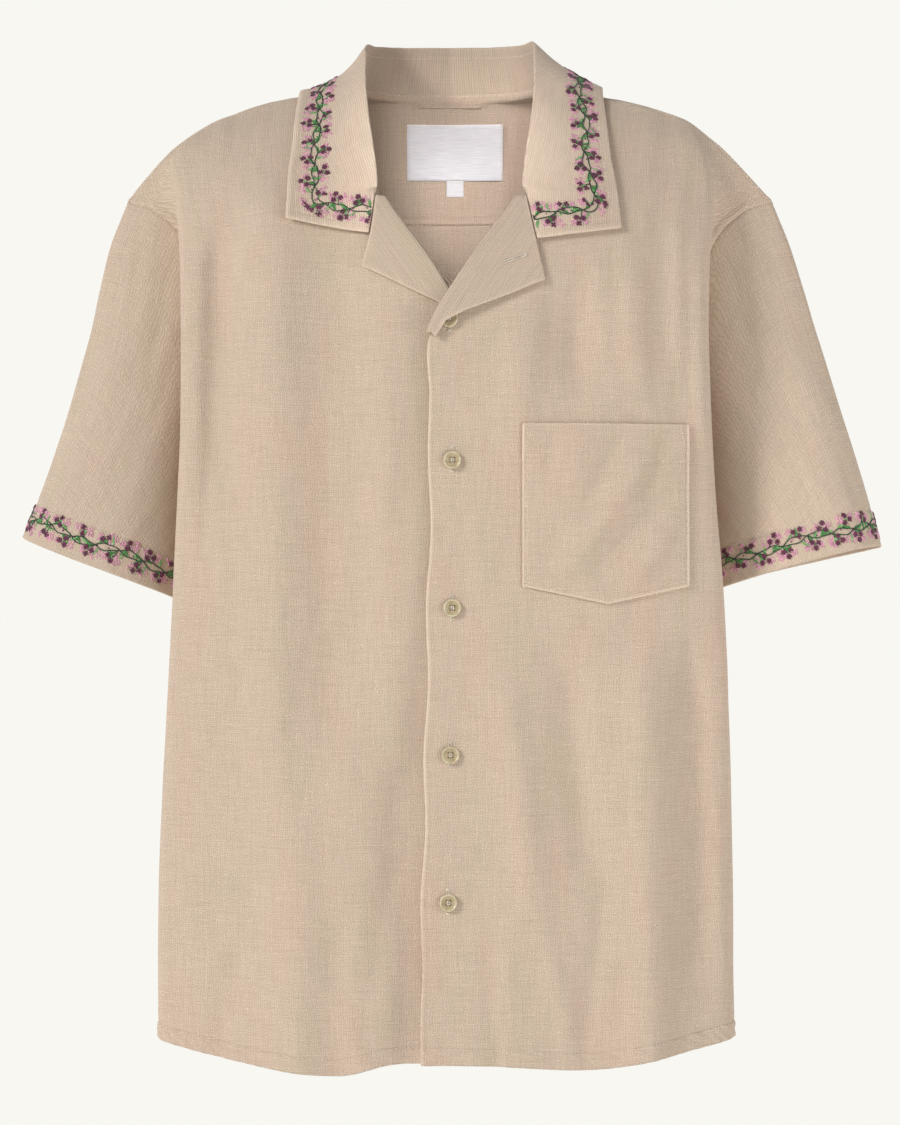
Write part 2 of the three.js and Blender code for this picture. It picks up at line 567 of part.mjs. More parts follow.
// ---------- Lapels ----------
const LAPEL_TURN = [0, 60, 120, 180]; // degrees round the roll
const LAPEL_FLAT = [0.2, 0.4, 0.6, 0.8, 1];
const LAPEL_LEVELS = LEVELS_FRONT.filter((t) => t >= BREAK && t < COLLAR_END);

function lapelRow(side, t) {
  const a = (t - BREAK) / (LAPEL_TOP - BREAK);
  const edge = shellPoint(FRONT, side, 0, t);
  const inwards = shellPoint(FRONT, side, 0.03, t).sub(edge).normalize();
  const normal = shellNormal(FRONT, side, 0.01, t);
  const outward = inwards.clone().negate();
  const radius = LAPEL_ROLL * mix(side > 0 ? 1.25 : 0.8, 1, smooth(clamp01(a * 2.5)));
  const turn = LAPEL_TURN.map((degrees) => {
    const angle = THREE.MathUtils.degToRad(degrees);
    return edge.clone()
      .addScaledVector(outward, 2 * SEAM_GAP + radius * Math.sin(angle))
      .addScaledVector(normal, radius * (1 - Math.cos(angle)));
  });
  const [x, z, lift] = lapelEdge(side, t);
  const flat = LAPEL_FLAT.map((b) => aboveShell(
    FRONT, side, mix(edge.x, side * x, b), mix(edge.z, z, b), mix(2 * radius, lift, b), [0.05, t],
  ));
  return [...turn, ...flat];
}

function lapel(side) {
  const lines = LAPEL_LEVELS.map((t) => lapelRow(side, t));
  const sheet = grid(lines[0].length, lines.length, (i, j) => lines[j][i]);
  return wall(sheet, TURNED);
}
for (const side of [1, -1]) add("lapel_" + sideName(side), lapel(side));

// ---------- Pocket ----------
function pocket() {
  const [columns, rows] = [9, 9];
  const sheet = grid(columns, rows, (i, j) => {
    const [w, h] = [i / (columns - 1), j / (rows - 1)];
    const x = mix(POCKET.left, POCKET.right, w);
    const halfWide = (POCKET.right - POCKET.left) / 2;
    const bottom = mix(POCKET.point, POCKET.side, Math.abs(x - POCKET.pointX) / halfWide);
    const z = mix(bottom, POCKET.top, h);
    const puff = POCKET.puff * Math.sin(Math.PI * w) * Math.sin(Math.PI * Math.min(1, h * 0.85));
    return aboveShell(FRONT, 1, x, z, LAID_ON + puff, [0.45, 0.5]);
  });
  return wall(sheet, (i) => (i >= columns * (rows - 2) ? HEM - 0.3 : CLOTH));
}
add("pocket", pocket());

// ---------- Labels, inside the yoke ----------
function label({ x, wide, high, thick }, top) {
  const [columns, rows] = [7, 4];
  const sheet = grid(columns, rows, (i, j) => {
    const px = x + wide * (i / (columns - 1) - 0.5);
    const z = top - high * (j / (rows - 1));
    const side = px < 0 ? -1 : 1;
    return aboveShell(BACK, side, px, z, -(CLOTH / 2 + thick / 2 + LABEL_ROOM), [0.1, 0.89]);
  });
  return wall(sheet, thick);
}
add("neck_label", label(LABEL, LABEL.top), "label");
add("size_tab", label(SIZE_TAB, LABEL.top - LABEL.high - SEAM_GAP), "label");

// ---------- Buttons ----------
function solid(geometry) {
  const soup = geometry.index ? geometry.toNonIndexed() : geometry;
  const places = new Map();
  const vertices = [];
  const triangles = [];
  const position = soup.getAttribute("position");
  for (let i = 0; i < position.count; i += 1) {
    const p = [position.getX(i), position.getY(i), position.getZ(i)];
    const key = p.map((value) => Math.round(value * 1e4)).join();
    if (!places.has(key)) {
      places.set(key, vertices.length / 3);
      vertices.push(...p);
    }
    triangles.push(places.get(key));
  }
  const kept = [];
  for (let i = 0; i < triangles.length; i += 3) {
    const [a, b, c] = triangles.slice(i, i + 3);
    if (a !== b && b !== c && c !== a) kept.push(a, b, c);
  }
  return new wasm.Manifold(new wasm.Mesh({
    numProp: 3,
    vertProperties: new Float32Array(vertices),
    triVerts: new Uint32Array(kept),
  }));
}

// A four-hole button with a raised rim, its axis along Z and its back at z 0.
function buttonGeometry() {
  const { radius, rim, thick, dish, hole, holeOut, sides } = BUTTON;
  const profile = [
    [0, 0], [radius - 0.8, 0], [radius, 0.9], [radius, thick - 0.6], [radius - 0.5, thick],
    [radius - rim, thick], [radius - rim - 0.7, thick - dish], [0, thick - dish],
  ].map(([x, y]) => new THREE.Vector2(x, y));
  let body = solid(new THREE.LatheGeometry(profile, sides).rotateX(Math.PI / 2));
  for (const [x, y] of [[1, 1], [1, -1], [-1, 1], [-1, -1]]) {
    const drill = new THREE.CylinderGeometry(hole, hole, thick * 3, 6).rotateX(Math.PI / 2);
    drill.translate(x * holeOut, y * holeOut, 0);
    body = body.subtract(solid(drill));
  }
  const made = body.getMesh();
  const geometry = new THREE.BufferGeometry();
  geometry.setAttribute("position", new THREE.BufferAttribute(made.vertProperties, 3));
  geometry.setIndex(new THREE.BufferAttribute(made.triVerts, 1));
  return geometry;
}

const button = buttonGeometry();
BUTTON_LEVELS.forEach((z, i) => {
  const [s, t] = shellAt(FRONT, 1, BUTTON_LINE[i], z, [0.03, 0.5]);
  const normal = shellNormal(FRONT, 1, s, t);
  const mesh = add("button_" + (i + 1), button, "button");
  mesh.position.copy(shellPoint(FRONT, 1, s, t).addScaledVector(normal, CLOTH / 2 + 2 * SEAM_GAP));
  mesh.quaternion.setFromUnitVectors(new THREE.Vector3(0, 0, 1), normal);
});

export default shirt;
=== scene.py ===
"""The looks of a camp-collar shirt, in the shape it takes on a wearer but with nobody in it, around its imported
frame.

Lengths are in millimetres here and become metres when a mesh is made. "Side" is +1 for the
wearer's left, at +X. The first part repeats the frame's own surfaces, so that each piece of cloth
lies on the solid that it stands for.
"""

import json
import math

import bpy
import numpy as np
from mathutils import Matrix, Vector
from mathutils.bvhtree import BVHTree

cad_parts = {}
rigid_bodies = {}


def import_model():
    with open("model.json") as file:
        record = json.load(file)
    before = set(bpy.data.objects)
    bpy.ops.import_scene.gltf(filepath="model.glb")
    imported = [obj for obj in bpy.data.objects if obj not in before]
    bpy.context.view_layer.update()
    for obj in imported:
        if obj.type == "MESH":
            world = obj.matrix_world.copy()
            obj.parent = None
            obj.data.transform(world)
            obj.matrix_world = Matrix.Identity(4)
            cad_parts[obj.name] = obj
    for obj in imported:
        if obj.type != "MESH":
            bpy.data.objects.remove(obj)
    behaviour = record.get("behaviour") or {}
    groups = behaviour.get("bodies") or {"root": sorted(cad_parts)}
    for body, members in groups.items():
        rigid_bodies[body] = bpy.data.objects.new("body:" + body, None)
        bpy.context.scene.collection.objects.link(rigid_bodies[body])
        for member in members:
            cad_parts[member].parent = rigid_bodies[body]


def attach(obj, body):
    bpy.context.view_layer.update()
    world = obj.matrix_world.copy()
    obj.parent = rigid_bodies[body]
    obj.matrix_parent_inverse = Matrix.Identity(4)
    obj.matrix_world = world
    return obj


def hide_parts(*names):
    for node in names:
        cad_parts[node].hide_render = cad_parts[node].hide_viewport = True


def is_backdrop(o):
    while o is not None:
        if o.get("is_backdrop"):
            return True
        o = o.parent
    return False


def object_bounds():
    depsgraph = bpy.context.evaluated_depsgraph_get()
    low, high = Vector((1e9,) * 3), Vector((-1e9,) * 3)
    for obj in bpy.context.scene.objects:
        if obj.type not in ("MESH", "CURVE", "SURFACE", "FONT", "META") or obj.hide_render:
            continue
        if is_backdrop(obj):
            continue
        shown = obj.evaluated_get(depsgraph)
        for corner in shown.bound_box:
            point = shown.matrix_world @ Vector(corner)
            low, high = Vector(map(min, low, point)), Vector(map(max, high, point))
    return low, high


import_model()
cad_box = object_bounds()

MM = 0.001


def in_scene(name, data):
    thing = bpy.data.objects.new(name, data)
    bpy.context.scene.collection.objects.link(thing)
    return thing


# ---------- Camera ----------
CAMERA_AWAY = 3000.0
CAMERA_LEVEL = -359.6
CAMERA_LENS = 124.8  # mm, on a sensor 36 mm high

camera_data = bpy.data.cameras.new("camera")
camera_data.lens = CAMERA_LENS
camera_data.sensor_width = 36
camera = in_scene("camera", camera_data)
camera.location = (0, -CAMERA_AWAY * MM, CAMERA_LEVEL * MM)
camera.rotation_euler = (math.pi / 2, 0, 0)
bpy.context.scene.camera = camera
bpy.context.scene.view_settings.view_transform = "Standard"

# ---------- Driving dimensions ----------
# Thicknesses of one layer, of a hem, and of two layers turned out.
CLOTH = 0.9
HEM = 1.7
TURNED = 1.8
LAID_ON = 1.9  # a pocket's middle surface above its panel's
HEM_DEPTH = 11.5
SLEEVE_HEM = 28

POCKET = {"left": 53.5, "right": 177.5, "top": -257, "side": -377, "pointX": 116, "point": -390, "puff": 2.2}
POCKET_BAND = 27.4
POCKET_STITCH = 2.0  # from the pocket's edges to their stitches
LABEL = {"x": 4, "wide": 76, "top": -13, "high": 43, "thick": 0.7}
SIZE_TAB = {"x": 4, "wide": 13.5, "high": 12, "thick": 0.7}
LABEL_ROOM = 1.2
GORGE = 0.86  # the collar's station where the lapel begins
NECK_TURN = 0.78  # the share of the way there at which the neck seam passes from back to front
BUTTON = {"radius": 6.6, "rim": 1.1, "thick": 2.6, "dish": 0.8, "hole": 0.75, "hole_out": 1.45}
BUTTON_ROOM = 0.75  # from the cloth to a button's back
BUTTON_LEVELS = [-180, -284, -393, -501.5, -610.6]
BUTTON_LINE = [-0.7, 1.5, 1.5, 0, -1.5]


# ---------- Tables ----------
def table(names, rows):
    return {name: np.array([row[i] for row in rows], float) for i, name in enumerate(names.split())}


# One half of the front: levels from hem (t 0) to shoulder seam (t 1), each from the front edge (c)
# over the chest to the corner fold (k), back into the tuck beside the arm (t) and out to the side
# seam or armhole (s).
FRONT = table("t xc yc zc xk yk zk xt yt zt xs ys zs wide recess bow drop tip", [
    [0.0, -21, -119, -731, 221, -62, -715, 206, -26, -711, 200, -2, -710, 6, 5.5, 2.4, 4, 0],
    [0.18, -18.5, -123, -600, 219, -65, -597, 205, -30, -595, 199, -2, -594, 7, 5.0, 2.4, 2, 0],
    [0.34, -16, -126, -480, 217, -68, -479, 198, -33, -478, 190, -2, -478, 4, 5.0, 2.4, 2, 0],
    [0.475, -14.5, -127, -380, 213, -70, -380, 189, -36, -380, 179, -2, -380, 3, 5.0, 2.4, 2, 0],
    [0.585, -13, -127, -300, 207, -71, -300, 184, -36, -300, 175, -2, -300, 5, 5.0, 2.4, 2, 0],
    [0.675, -14.5, -127, -235, 203, -69, -232, 183, -34, -235, 176, -2, -235, 7, 6.0, 2.4, 2, 0],
    [0.735, -14, -125, -190, 202, -65, -182, 184, -30, -188, 184, -14, -190, 8, 7.5, 2.3, 2, 0],
    [0.81, 16, -116, -137, 202, -58, -130, 189, -26, -140, 192, -20, -146, 8, 6.5, 2.2, 2, 0],
    [0.885, 55, -91, -81, 203, -48, -87, 196, -22, -101, 204, -20, -112, 9, 0, 2.0, 1.6, 0],
    [0.945, 71, -52, -30, 196, -36, -49, 204, -20, -76, 226, -17, -91, 18, 0, 1.6, 1.9, 0],
    [1.0, 78, -16, -2, 186, -15, -24, 216, -13, -50, 247, -8, -84, -2, 0, 1.2, 2.1, 7],
])
UNDERARM = 0.675
BREAK = 0.735
COLLAR_END = 0.885

# One half of the back and the yoke, from hem (t 0) over the shoulder to the yoke's front seam.
BACK = table("t xc yc zc xk yk zk xt yt zt xs ys zs wide bow drop tip", [
    [0.0, 0, 104, -735, 212, 56, -722, 206, 22, -712, 200, -2, -710, 5, 2.4, 4, 0],
    [0.18, 0, 104, -600, 212, 58, -597, 205, 26, -595, 199, -2, -594, 5, 2.4, 2, 0],
    [0.34, 0, 103, -480, 208, 60, -479, 197, 28, -478, 190, -2, -478, 5, 2.4, 2, 0],
    [0.475, 0, 105, -380, 201, 62, -380, 188, 30, -380, 179, -2, -380, 5, 2.4, 2, 0],
    [0.585, 0, 109, -300, 197, 63, -300, 184, 30, -300, 175, -2, -300, 5, 2.4, 2, 0],
    [0.675, 0, 113, -235, 196, 61, -233, 183, 28, -235, 176, -2, -235, 5, 2.4, 2, 0],
    [0.74, 0, 114, -190, 198, 56, -188, 188, 26, -190, 186, 10, -190, 5, 2.4, 2, 0],
    [0.81, 0, 113, -140, 201, 51, -138, 196, 28, -142, 198, 17, -146, 4, 2.4, 2, 0],
    [0.87, 0, 108, -90, 207, 44, -92, 211, 28, -102, 219, 18, -110, 3, 2.3, 2, 0],
    [0.91, 0, 98, -40, 208, 38, -75, 218, 24, -90, 232, 13, -98, 2, 2.0, 2.2, 0],
    [0.94, 0, 80, 4, 192, 30, -45, 219, 16, -64, 240, 8, -91, 0, 1.6, 2.2, 4],
    [0.958, 42, 71, 4, 188, 18, -33, 219, 10, -56, 244, 4, -88, -1, 1.3, 2.4, 7],
    [0.978, 72, 38, 5, 187, 6, -24.5, 220, 3, -51, 248, 0, -85.5, -2, 1.1, 2.5, 7],
    [1.0, 78, -16, -2, 186, -15, -24, 216, -13, -50, 247, -8, -84, -2, 1.2, 2.1, 7],
])
YOKE_SEAM = 0.87
BACK_NECK = 0.94
CHEST_SHARES = [0, 0.25, 0.5, 0.75, 0.92, 1]

# Where the front's hem hangs lower, for each side.
HEM_DIPS = {
    -1: {"x": -84, "inward": 28, "outward": 95, "deep": 10.5},
    1: {"x": 110, "inward": 60, "outward": 60, "deep": 6.5},
}

# Folds in front view: a straight run from (x0, z0) to (x1, z1), its half width, and how far it
# stands out (+) or in (-).
FRONT_FOLDS = table("x0 z0 x1 z1 half out", [
    [-172, -70, -174, -330, 9, -4],
    [-136, -50, -130, -560, 21, 5],
    [-88, -60, -86, -520, 20, -4.5],
    [-126, -500, -120, -735, 22, 4],
    [-82, -450, -76, -735, 18, 1.2],
    [-16, -400, -17, -735, 28, -3.5],
    [52, -150, 50, -300, 13, 3],
    [94, -120, 96, -260, 15, -4],
    [134, -90, 140, -260, 12, 3],
    [34, -420, 72, -660, 14, 3.5],
    [80, -400, 106, -620, 14, -4],
    [144, -400, 148, -735, 20, 5],
    [182, -400, 186, -700, 10, -3],
    [186, -80, 190, -300, 9, 2.5],
    # Finer ones.
    [-162, -60, -164, -350, 8, -2.4],
    [-180, -90, -182, -370, 8, -2.4],
    [-70, -120, -64, -520, 14, -2.4],
    [-110, -520, -108, -735, 16, 1.6],
    [-34, -470, -34, -735, 20, -2.0],
    [-82, -590, -84, -735, 12, -2.2],
    [-42, -480, -44, -650, 11, -1.4],
    [-164, -120, -166, -260, 10, -1.8],
    [62, -140, 62, -250, 9, 1.5],
    [88, -150, 90, -250, 9, -1.6],
    [174, -400, 176, -700, 9, -2.0],
    [-148, -600, -176, -735, 9, -1.5],
    [-60, -300, -70, -470, 9, -1.2],
    [-46, -200, -58, -420, 12, 1.6],
    [-104, -640, -62, -735, 8, 1.4],
    [-40, -560, -70, -735, 9, -1.3],
    [7, -210, 5, -650, 9, -1.2],
    [22, -560, 34, -735, 8, -1.4],
    [74, -120, 76, -240, 7, -1.6],
    [112, -110, 112, -230, 7, 1.4],
    [170, -60, 172, -240, 7, 1.8],
    [120, -560, 96, -735, 9, -1.4],
    [60, -600, 96, -735, 9, 1.6],
    [28, -440, 52, -560, 7, -1.2],
])
FRONT_DEEPER = 1.6  # against the frame's own front folds
BACK_FOLDS = table("x0 z0 x1 z1 half out", [
    [-150, -120, -140, -735, 20, -6],
    [-95, -140, -80, -735, 24, 5],
    [-25, -120, -35, -735, 22, -4],
    [38, -110, 30, -735, 22, 4],
    [92, -140, 100, -735, 22, -5],
    [150, -120, 146, -735, 20, 6],
])
FOLD_FADE = 70
HEM_REGION = -700  # a fold that ends below this level runs out through the hem

# The collar's cross-sections, from the middle of the back (u 0) to its front end (u 1).
COLLAR = table("u xr yr zr xm ym zm xe ye ze tilt dx dz", [
    [0.0, 0, 77, 47, 0, 93, 22, 0, 100, -10, 0, 0, 0],
    [0.22, 38, 69, 46.5, 45, 85, 22, 51, 93, -9, 1, 0, 0],
    [0.42, 57, 45, 44.5, 73, 57, 20.5, 92, 65, 0.8, 4, 0, 0],
    [0.56, 63.5, 14, 42, 87, 19, 15, 113.5, 20, 6.2, 6, 1.5, -1],
    [0.66, 64, -16, 24, 88, -24, 3, 116, -22, -5, 3, 0.5, -0.5],
    [0.76, 62, -54, -14, 88, -62, -34, 118, -58, -46, 0, 0.5, 1],
    [0.86, 54.5, -98, -80, 88, -90, -82, 121, -83, -80, 0, 1, 2],
    [1.0, 68, -112, -120.5, 96, -105, -115.5, 124, -97, -109, 0, 1.5, 3.5],
])
FALL_LIFT = 4.2
NECK_LIFT = 1.9

# The lapels' free edges, from the break to the notch and up the seam with the collar.
LAPEL = table("t x z lift xr zr liftr", [
    [0.735, -11, -193, 5.8, -10, -190, 3.7],
    [0.752, -3.5, -181, 6.2, -2, -174, 3.4],
    [0.77, 11, -173.5, 5.8, 10, -166, 3.4],
    [0.79, 27, -167.5, 4.8, 27, -158, 3.2],
    [0.81, 47, -160, 3.8, 45, -149, 3.0],
    [0.83, 69, -150, 3.0, 64, -139.5, 3.0],
    [0.848, 62.8, -121.3, 4.2, 58.0, -115.6, 4.2],
    [0.875, 56.0, -89, 4.4, 54.6, -88, 4.4],
])
NOTCH = 0.848
LAPEL_TOP = 0.875
LAPEL_ROLL = 2.3

SLEEVES = {
    1: {"in": (199, -383), "out": (330.5, -347.5), "depth": (-48, 42), "rise": (5, 5.5), "back": (4.5, -0.5)},
    -1: {"in": (200, -391), "out": (327.5, -340), "depth": (-48, 42), "rise": (2.5, -1), "back": (-2, 1)},
}
SLEEVE_BOWS = table("v left right", [
    [0, 0, 0],
    [0.13, 2.4, 2],
    [0.26, 2.7, 0],
    [0.4, 2.4, -3],
    [0.6, 2.4, -4.5],
    [0.75, 2.2, -4.5],
    [0.88, 1.5, -3],
    [1, 0, 0],
])
SLEEVE_UNDER = 6


# ---------- Curves ----------
def mix(a, b, w):
    return a + (b - a) * w


def clamp01(w):
    return np.clip(w, 0.0, 1.0)


def smooth(w):
    return w * w * (3 - 2 * w)


def step(at, start, end):
    return smooth(clamp01((at - start) / (end - start)))


def bell(at, width):
    """A round hump, 1 high at 0."""
    return np.exp(-((at / width) ** 2))


def unit(v):
    return v / np.maximum(np.linalg.norm(v, axis=-1, keepdims=True), 1e-12)


def path_run(path):
    """The length along a path at each of its points."""
    return np.concatenate([[0], np.cumsum(np.linalg.norm(np.diff(path, axis=0), axis=1))])


def sampled(values, run, at):
    """Rows of three values, given along a path, at other places on it."""
    return np.stack([np.interp(at, run, values[:, k]) for k in range(3)], -1)


def along(rows, name, at, key="t"):
    """A smooth curve through one column of a table, against the column named by key."""
    knots, values = rows[key], rows[name]
    last = len(knots) - 1
    before = np.maximum(np.arange(last + 1) - 1, 0)
    after = np.minimum(np.arange(last + 1) + 1, last)
    slopes = (values[after] - values[before]) / (knots[after] - knots[before])
    at = np.asarray(at, float)
    i = np.searchsorted(knots[1:-1], at, side="left")
    span = knots[i + 1] - knots[i]
    w = (at - knots[i]) / span
    return (
        (2 * w**3 - 3 * w**2 + 1) * values[i]
        + (w**3 - 2 * w**2 + w) * span * slopes[i]
        + (3 * w**2 - 2 * w**3) * values[i + 1]
        + (w**3 - w**2) * span * slopes[i + 1]
    )


def cornered(rows, name, t, corner_level):
    """The same, for a curve with a corner at one level."""
    found = np.flatnonzero(rows["t"] == corner_level)
    if not len(found):
        return along(rows, name, t)
    low = {key: column[: found[0] + 1] for key, column in rows.items()}
    high = {key: column[found[0]:] for key, column in rows.items()}
    return np.where(t <= corner_level, along(low, name, t), along(high, name, t))


def spline_weights(n, s):
    """Weights of a clamped uniform cubic B-spline with n control points."""
    knots = np.clip(np.arange(n + 4) - 3, 0, n - 3)
    x = np.clip(np.asarray(s, float) * (n - 3), 0, n - 3 - 1e-9)
    weights = [((x >= knots[i]) & (x < knots[i + 1])).astype(float) for i in range(n + 3)]
    for degree in (1, 2, 3):
        for i in range(n + 3 - degree):
            left = knots[i + degree] - knots[i]
            right = knots[i + degree + 1] - knots[i + 1]
            low = (x - knots[i]) / left * weights[i] if left else 0 * x
            high = (knots[i + degree + 1] - x) / right * weights[i + 1] if right else 0 * x
            weights[i] = low + high
    return np.stack(weights[:n], -1)


def spline_point(controls, s):
    """controls: a list of n arrays of points; s: the place on the curve, of a matching shape."""
    weights = spline_weights(len(controls), s)
    return sum(c * weights[..., i, None] for i, c in enumerate(controls))


def xyz(x, y, z):
    return np.stack(np.broadcast_arrays(np.asarray(x, float), y, z), -1)


# ---------- Uneven surfaces ----------
LATTICE = np.random.default_rng(11).random((64, 64)) * 2 - 1


def rough(x, y):
    """Smooth noise in -1..1 with features one unit across."""
    i, j = np.floor(x).astype(int), np.floor(y).astype(int)
    fx, fy = smooth(x - i), smooth(y - j)
    corner = lambda a, b: LATTICE[(i + a) % 64, (j + b) % 64]
    low = mix(corner(0, 0), corner(1, 0), fx)
    high = mix(corner(0, 1), corner(1, 1), fx)
    return mix(low, high, fy)


def fold_depth(folds, x, z, fade=FOLD_FADE):
    out = np.zeros(np.shape(x))
    for x0, z0, x1, z1, half, depth in zip(*(folds[k] for k in ("x0", "z0", "x1", "z1", "half", "out"))):
        share = clamp01((z - z0) / (z1 - z0))
        rise = step(z0 - z, 0, fade)
        fall = 1 if z1 < HEM_REGION else step(z - z1, 0, fade)
        out = out + depth * bell(x - mix(x0, x1, share), half) * rise * fall
    return out


# ---------- The body's surface ----------
def shell_point(rows, side, s, t):
    """A point of a half shell; s runs from its centre edge (0) to its seam (1)."""
    s, t = np.broadcast_arrays(np.asarray(s, float), np.asarray(t, float))
    is_front = rows is FRONT
    v = lambda name: along(rows, name, t)
    wider = v("wide") if side < 0 else 0
    recess = v("recess") if side < 0 and is_front else 0
    xc, yc, zc = (cornered(rows, name, t, BACK_NECK) for name in ("xc", "yc", "zc"))
    xk, yk, zk, bow, drop = (v(name) for name in ("xk", "yk", "zk", "bow", "drop"))
    controls = [
        xyz(mix(xc, xk + wider, w), mix(yc + recess, yk, w**bow), mix(zc, zk, w**drop))
        for w in CHEST_SHARES
    ]
    tuck = v("wide") * 0.5 + v("tip") if side < 0 else 0
    controls.append(xyz(v("xt") + tuck, v("yt"), v("zt")))
    controls.append(xyz(*(cornered(rows, name, t, UNDERARM) for name in ("xs", "ys", "zs"))))
    point = spline_point(controls, s)
    point[..., 0] *= side
    folds = FRONT_FOLDS if is_front else BACK_FOLDS
    fade = step(1 - s, 0, 0.25) * (step(s, 0, 0.08) if is_front else 1)
    depth = fold_depth(folds, point[..., 0], point[..., 2]) * (FRONT_DEEPER if is_front else 1)
    point[..., 1] += (-1 if is_front else 1) * fade * depth
    if is_front:
        dip = HEM_DIPS[side]
        off = side * (point[..., 0] - dip["x"])
        reach = np.where(off < 0, dip["inward"], dip["outward"])
        point[..., 2] -= dip["deep"] * bell(off, reach) * (1 - step(t, 0, 0.1))
    return point


def shell_normal(rows, side, s, t):
    near = 0.004
    s, t = np.broadcast_arrays(np.asarray(s, float), np.asarray(t, float))
    across = shell_point(rows, side, np.minimum(1, s + near), t) - shell_point(rows, side, np.maximum(0, s - near), t)
    up = shell_point(rows, side, s, np.minimum(1, t + near)) - shell_point(rows, side, s, np.maximum(0, t - near))
    normal = unit(np.cross(across, up))
    wanted = -1 if rows is FRONT else 1
    return normal * np.where(np.sign(normal[..., 1:2]) == wanted, 1, -1)


def shell_at(rows, side, x, z, start=(0.35, 0.6)):
    """The shell's parameters at places given in front view."""
    x, z = np.broadcast_arrays(np.asarray(x, float), np.asarray(z, float))
    s = np.full(x.shape, float(start[0])) if np.ndim(start[0]) == 0 else np.array(start[0], float)
    t = np.full(x.shape, float(start[1])) if np.ndim(start[1]) == 0 else np.array(start[1], float)
    near = 1e-3
    for _ in range(24):
        p = shell_point(rows, side, s, t)
        ex, ez = x - p[..., 0], z - p[..., 2]
        if np.max(np.hypot(ex, ez)) < 2e-3:
            break
        ps = (shell_point(rows, side, s + near, t) - p) / near
        pt = (shell_point(rows, side, s, t + near) - p) / near
        a, b, c, d = ps[..., 0], pt[..., 0], ps[..., 2], pt[..., 2]
        det = a * d - b * c
        det = np.where(np.abs(det) < 1e-6, 1e-6, det)
        s = np.clip(s + np.clip((d * ex - b * ez) / det, -0.15, 0.15), 0.0, 0.98)
        t = np.clip(t + np.clip((a * ez - c * ex) / det, -0.1, 0.1), 0.0, 0.995)
    return s, t


def above_shell(rows, side, x, z, lift, start):
    s, t = shell_at(rows, side, x, z, start)
    return shell_point(rows, side, s, t) + shell_normal(rows, side, s, t) * np.asarray(lift)[..., None]


# ---------- Cloth ----------
def lattice(points, uv, thick, wrap=False, flip=False, worn=0.0):
    """A grid of points (rows, columns, 3) as a sheet; uv has one column more where it wraps.
    A further value at each point says how pale the cloth is, from 0 to 1: rubbed at its edges, and on the left
    front's edge a painted highlight as well."""
    rows, columns = points.shape[:2]
    at = np.arange(rows * columns).reshape(rows, columns)
    if wrap:
        at = np.concatenate([at, at[:, :1]], 1)
    uv_at = np.arange(uv.shape[0] * uv.shape[1]).reshape(uv.shape[:2])
    corners = lambda a: np.stack([a[:-1, :-1], a[:-1, 1:], a[1:, 1:], a[1:, :-1]], -1).reshape(-1, 4)
    quads, uv_quads = corners(at), corners(uv_at)
    if flip:
        quads, uv_quads = quads[:, ::-1], uv_quads[:, ::-1]
    return {
        "points": points.reshape(-1, 3), "quads": quads, "uv": uv.reshape(-1, 2), "uv_quads": uv_quads,
        "thick": np.broadcast_to(thick, points.shape[:2]).reshape(-1),
        "worn": np.broadcast_to(worn, points.shape[:2]).reshape(-1),
    }


def weld(*sheets):
    """Joins sheets where their points coincide."""
    points = np.concatenate([s["points"] for s in sheets])
    thick, worn = (np.concatenate([s[key] for s in sheets]) for key in ("thick", "worn"))
    starts = np.cumsum([0] + [len(s["points"]) for s in sheets])
    uv_starts = np.cumsum([0] + [len(s["uv"]) for s in sheets])
    _, first, place = np.unique(np.round(points * 50).astype(int), axis=0, return_index=True, return_inverse=True)
    place = place.reshape(-1)
    return {
        "points": points[first],
        "thick": thick[first],
        "worn": worn[first],
        "quads": np.concatenate([place[s["quads"] + a] for s, a in zip(sheets, starts)]),
        "uv": np.concatenate([s["uv"] for s in sheets]),
        "uv_quads": np.concatenate([s["uv_quads"] + a for s, a in zip(sheets, uv_starts)]),
    }


def make_mesh(name, points, faces, uv_loops=None):
    mesh = bpy.data.meshes.new(name)
    mesh.from_pydata((np.asarray(points) * MM).tolist(), [], np.asarray(faces).tolist())
    if uv_loops is not None:
        layer = mesh.uv_layers.new(name="UVMap")
        layer.data.foreach_set("uv", (uv_loops * MM).astype(np.float32).ravel())
    mesh.polygons.foreach_set("use_smooth", np.ones(len(mesh.polygons), bool))
    mesh.update()
    return in_scene(name, mesh)


def sheet_normals(sheet):
    points, quads = sheet["points"], sheet["quads"]
    face = np.cross(points[quads[:, 2]] - points[quads[:, 0]], points[quads[:, 3]] - points[quads[:, 1]])
    normals = np.zeros_like(points)
    for k in range(4):
        np.add.at(normals, quads[:, k], face)
    return unit(normals)


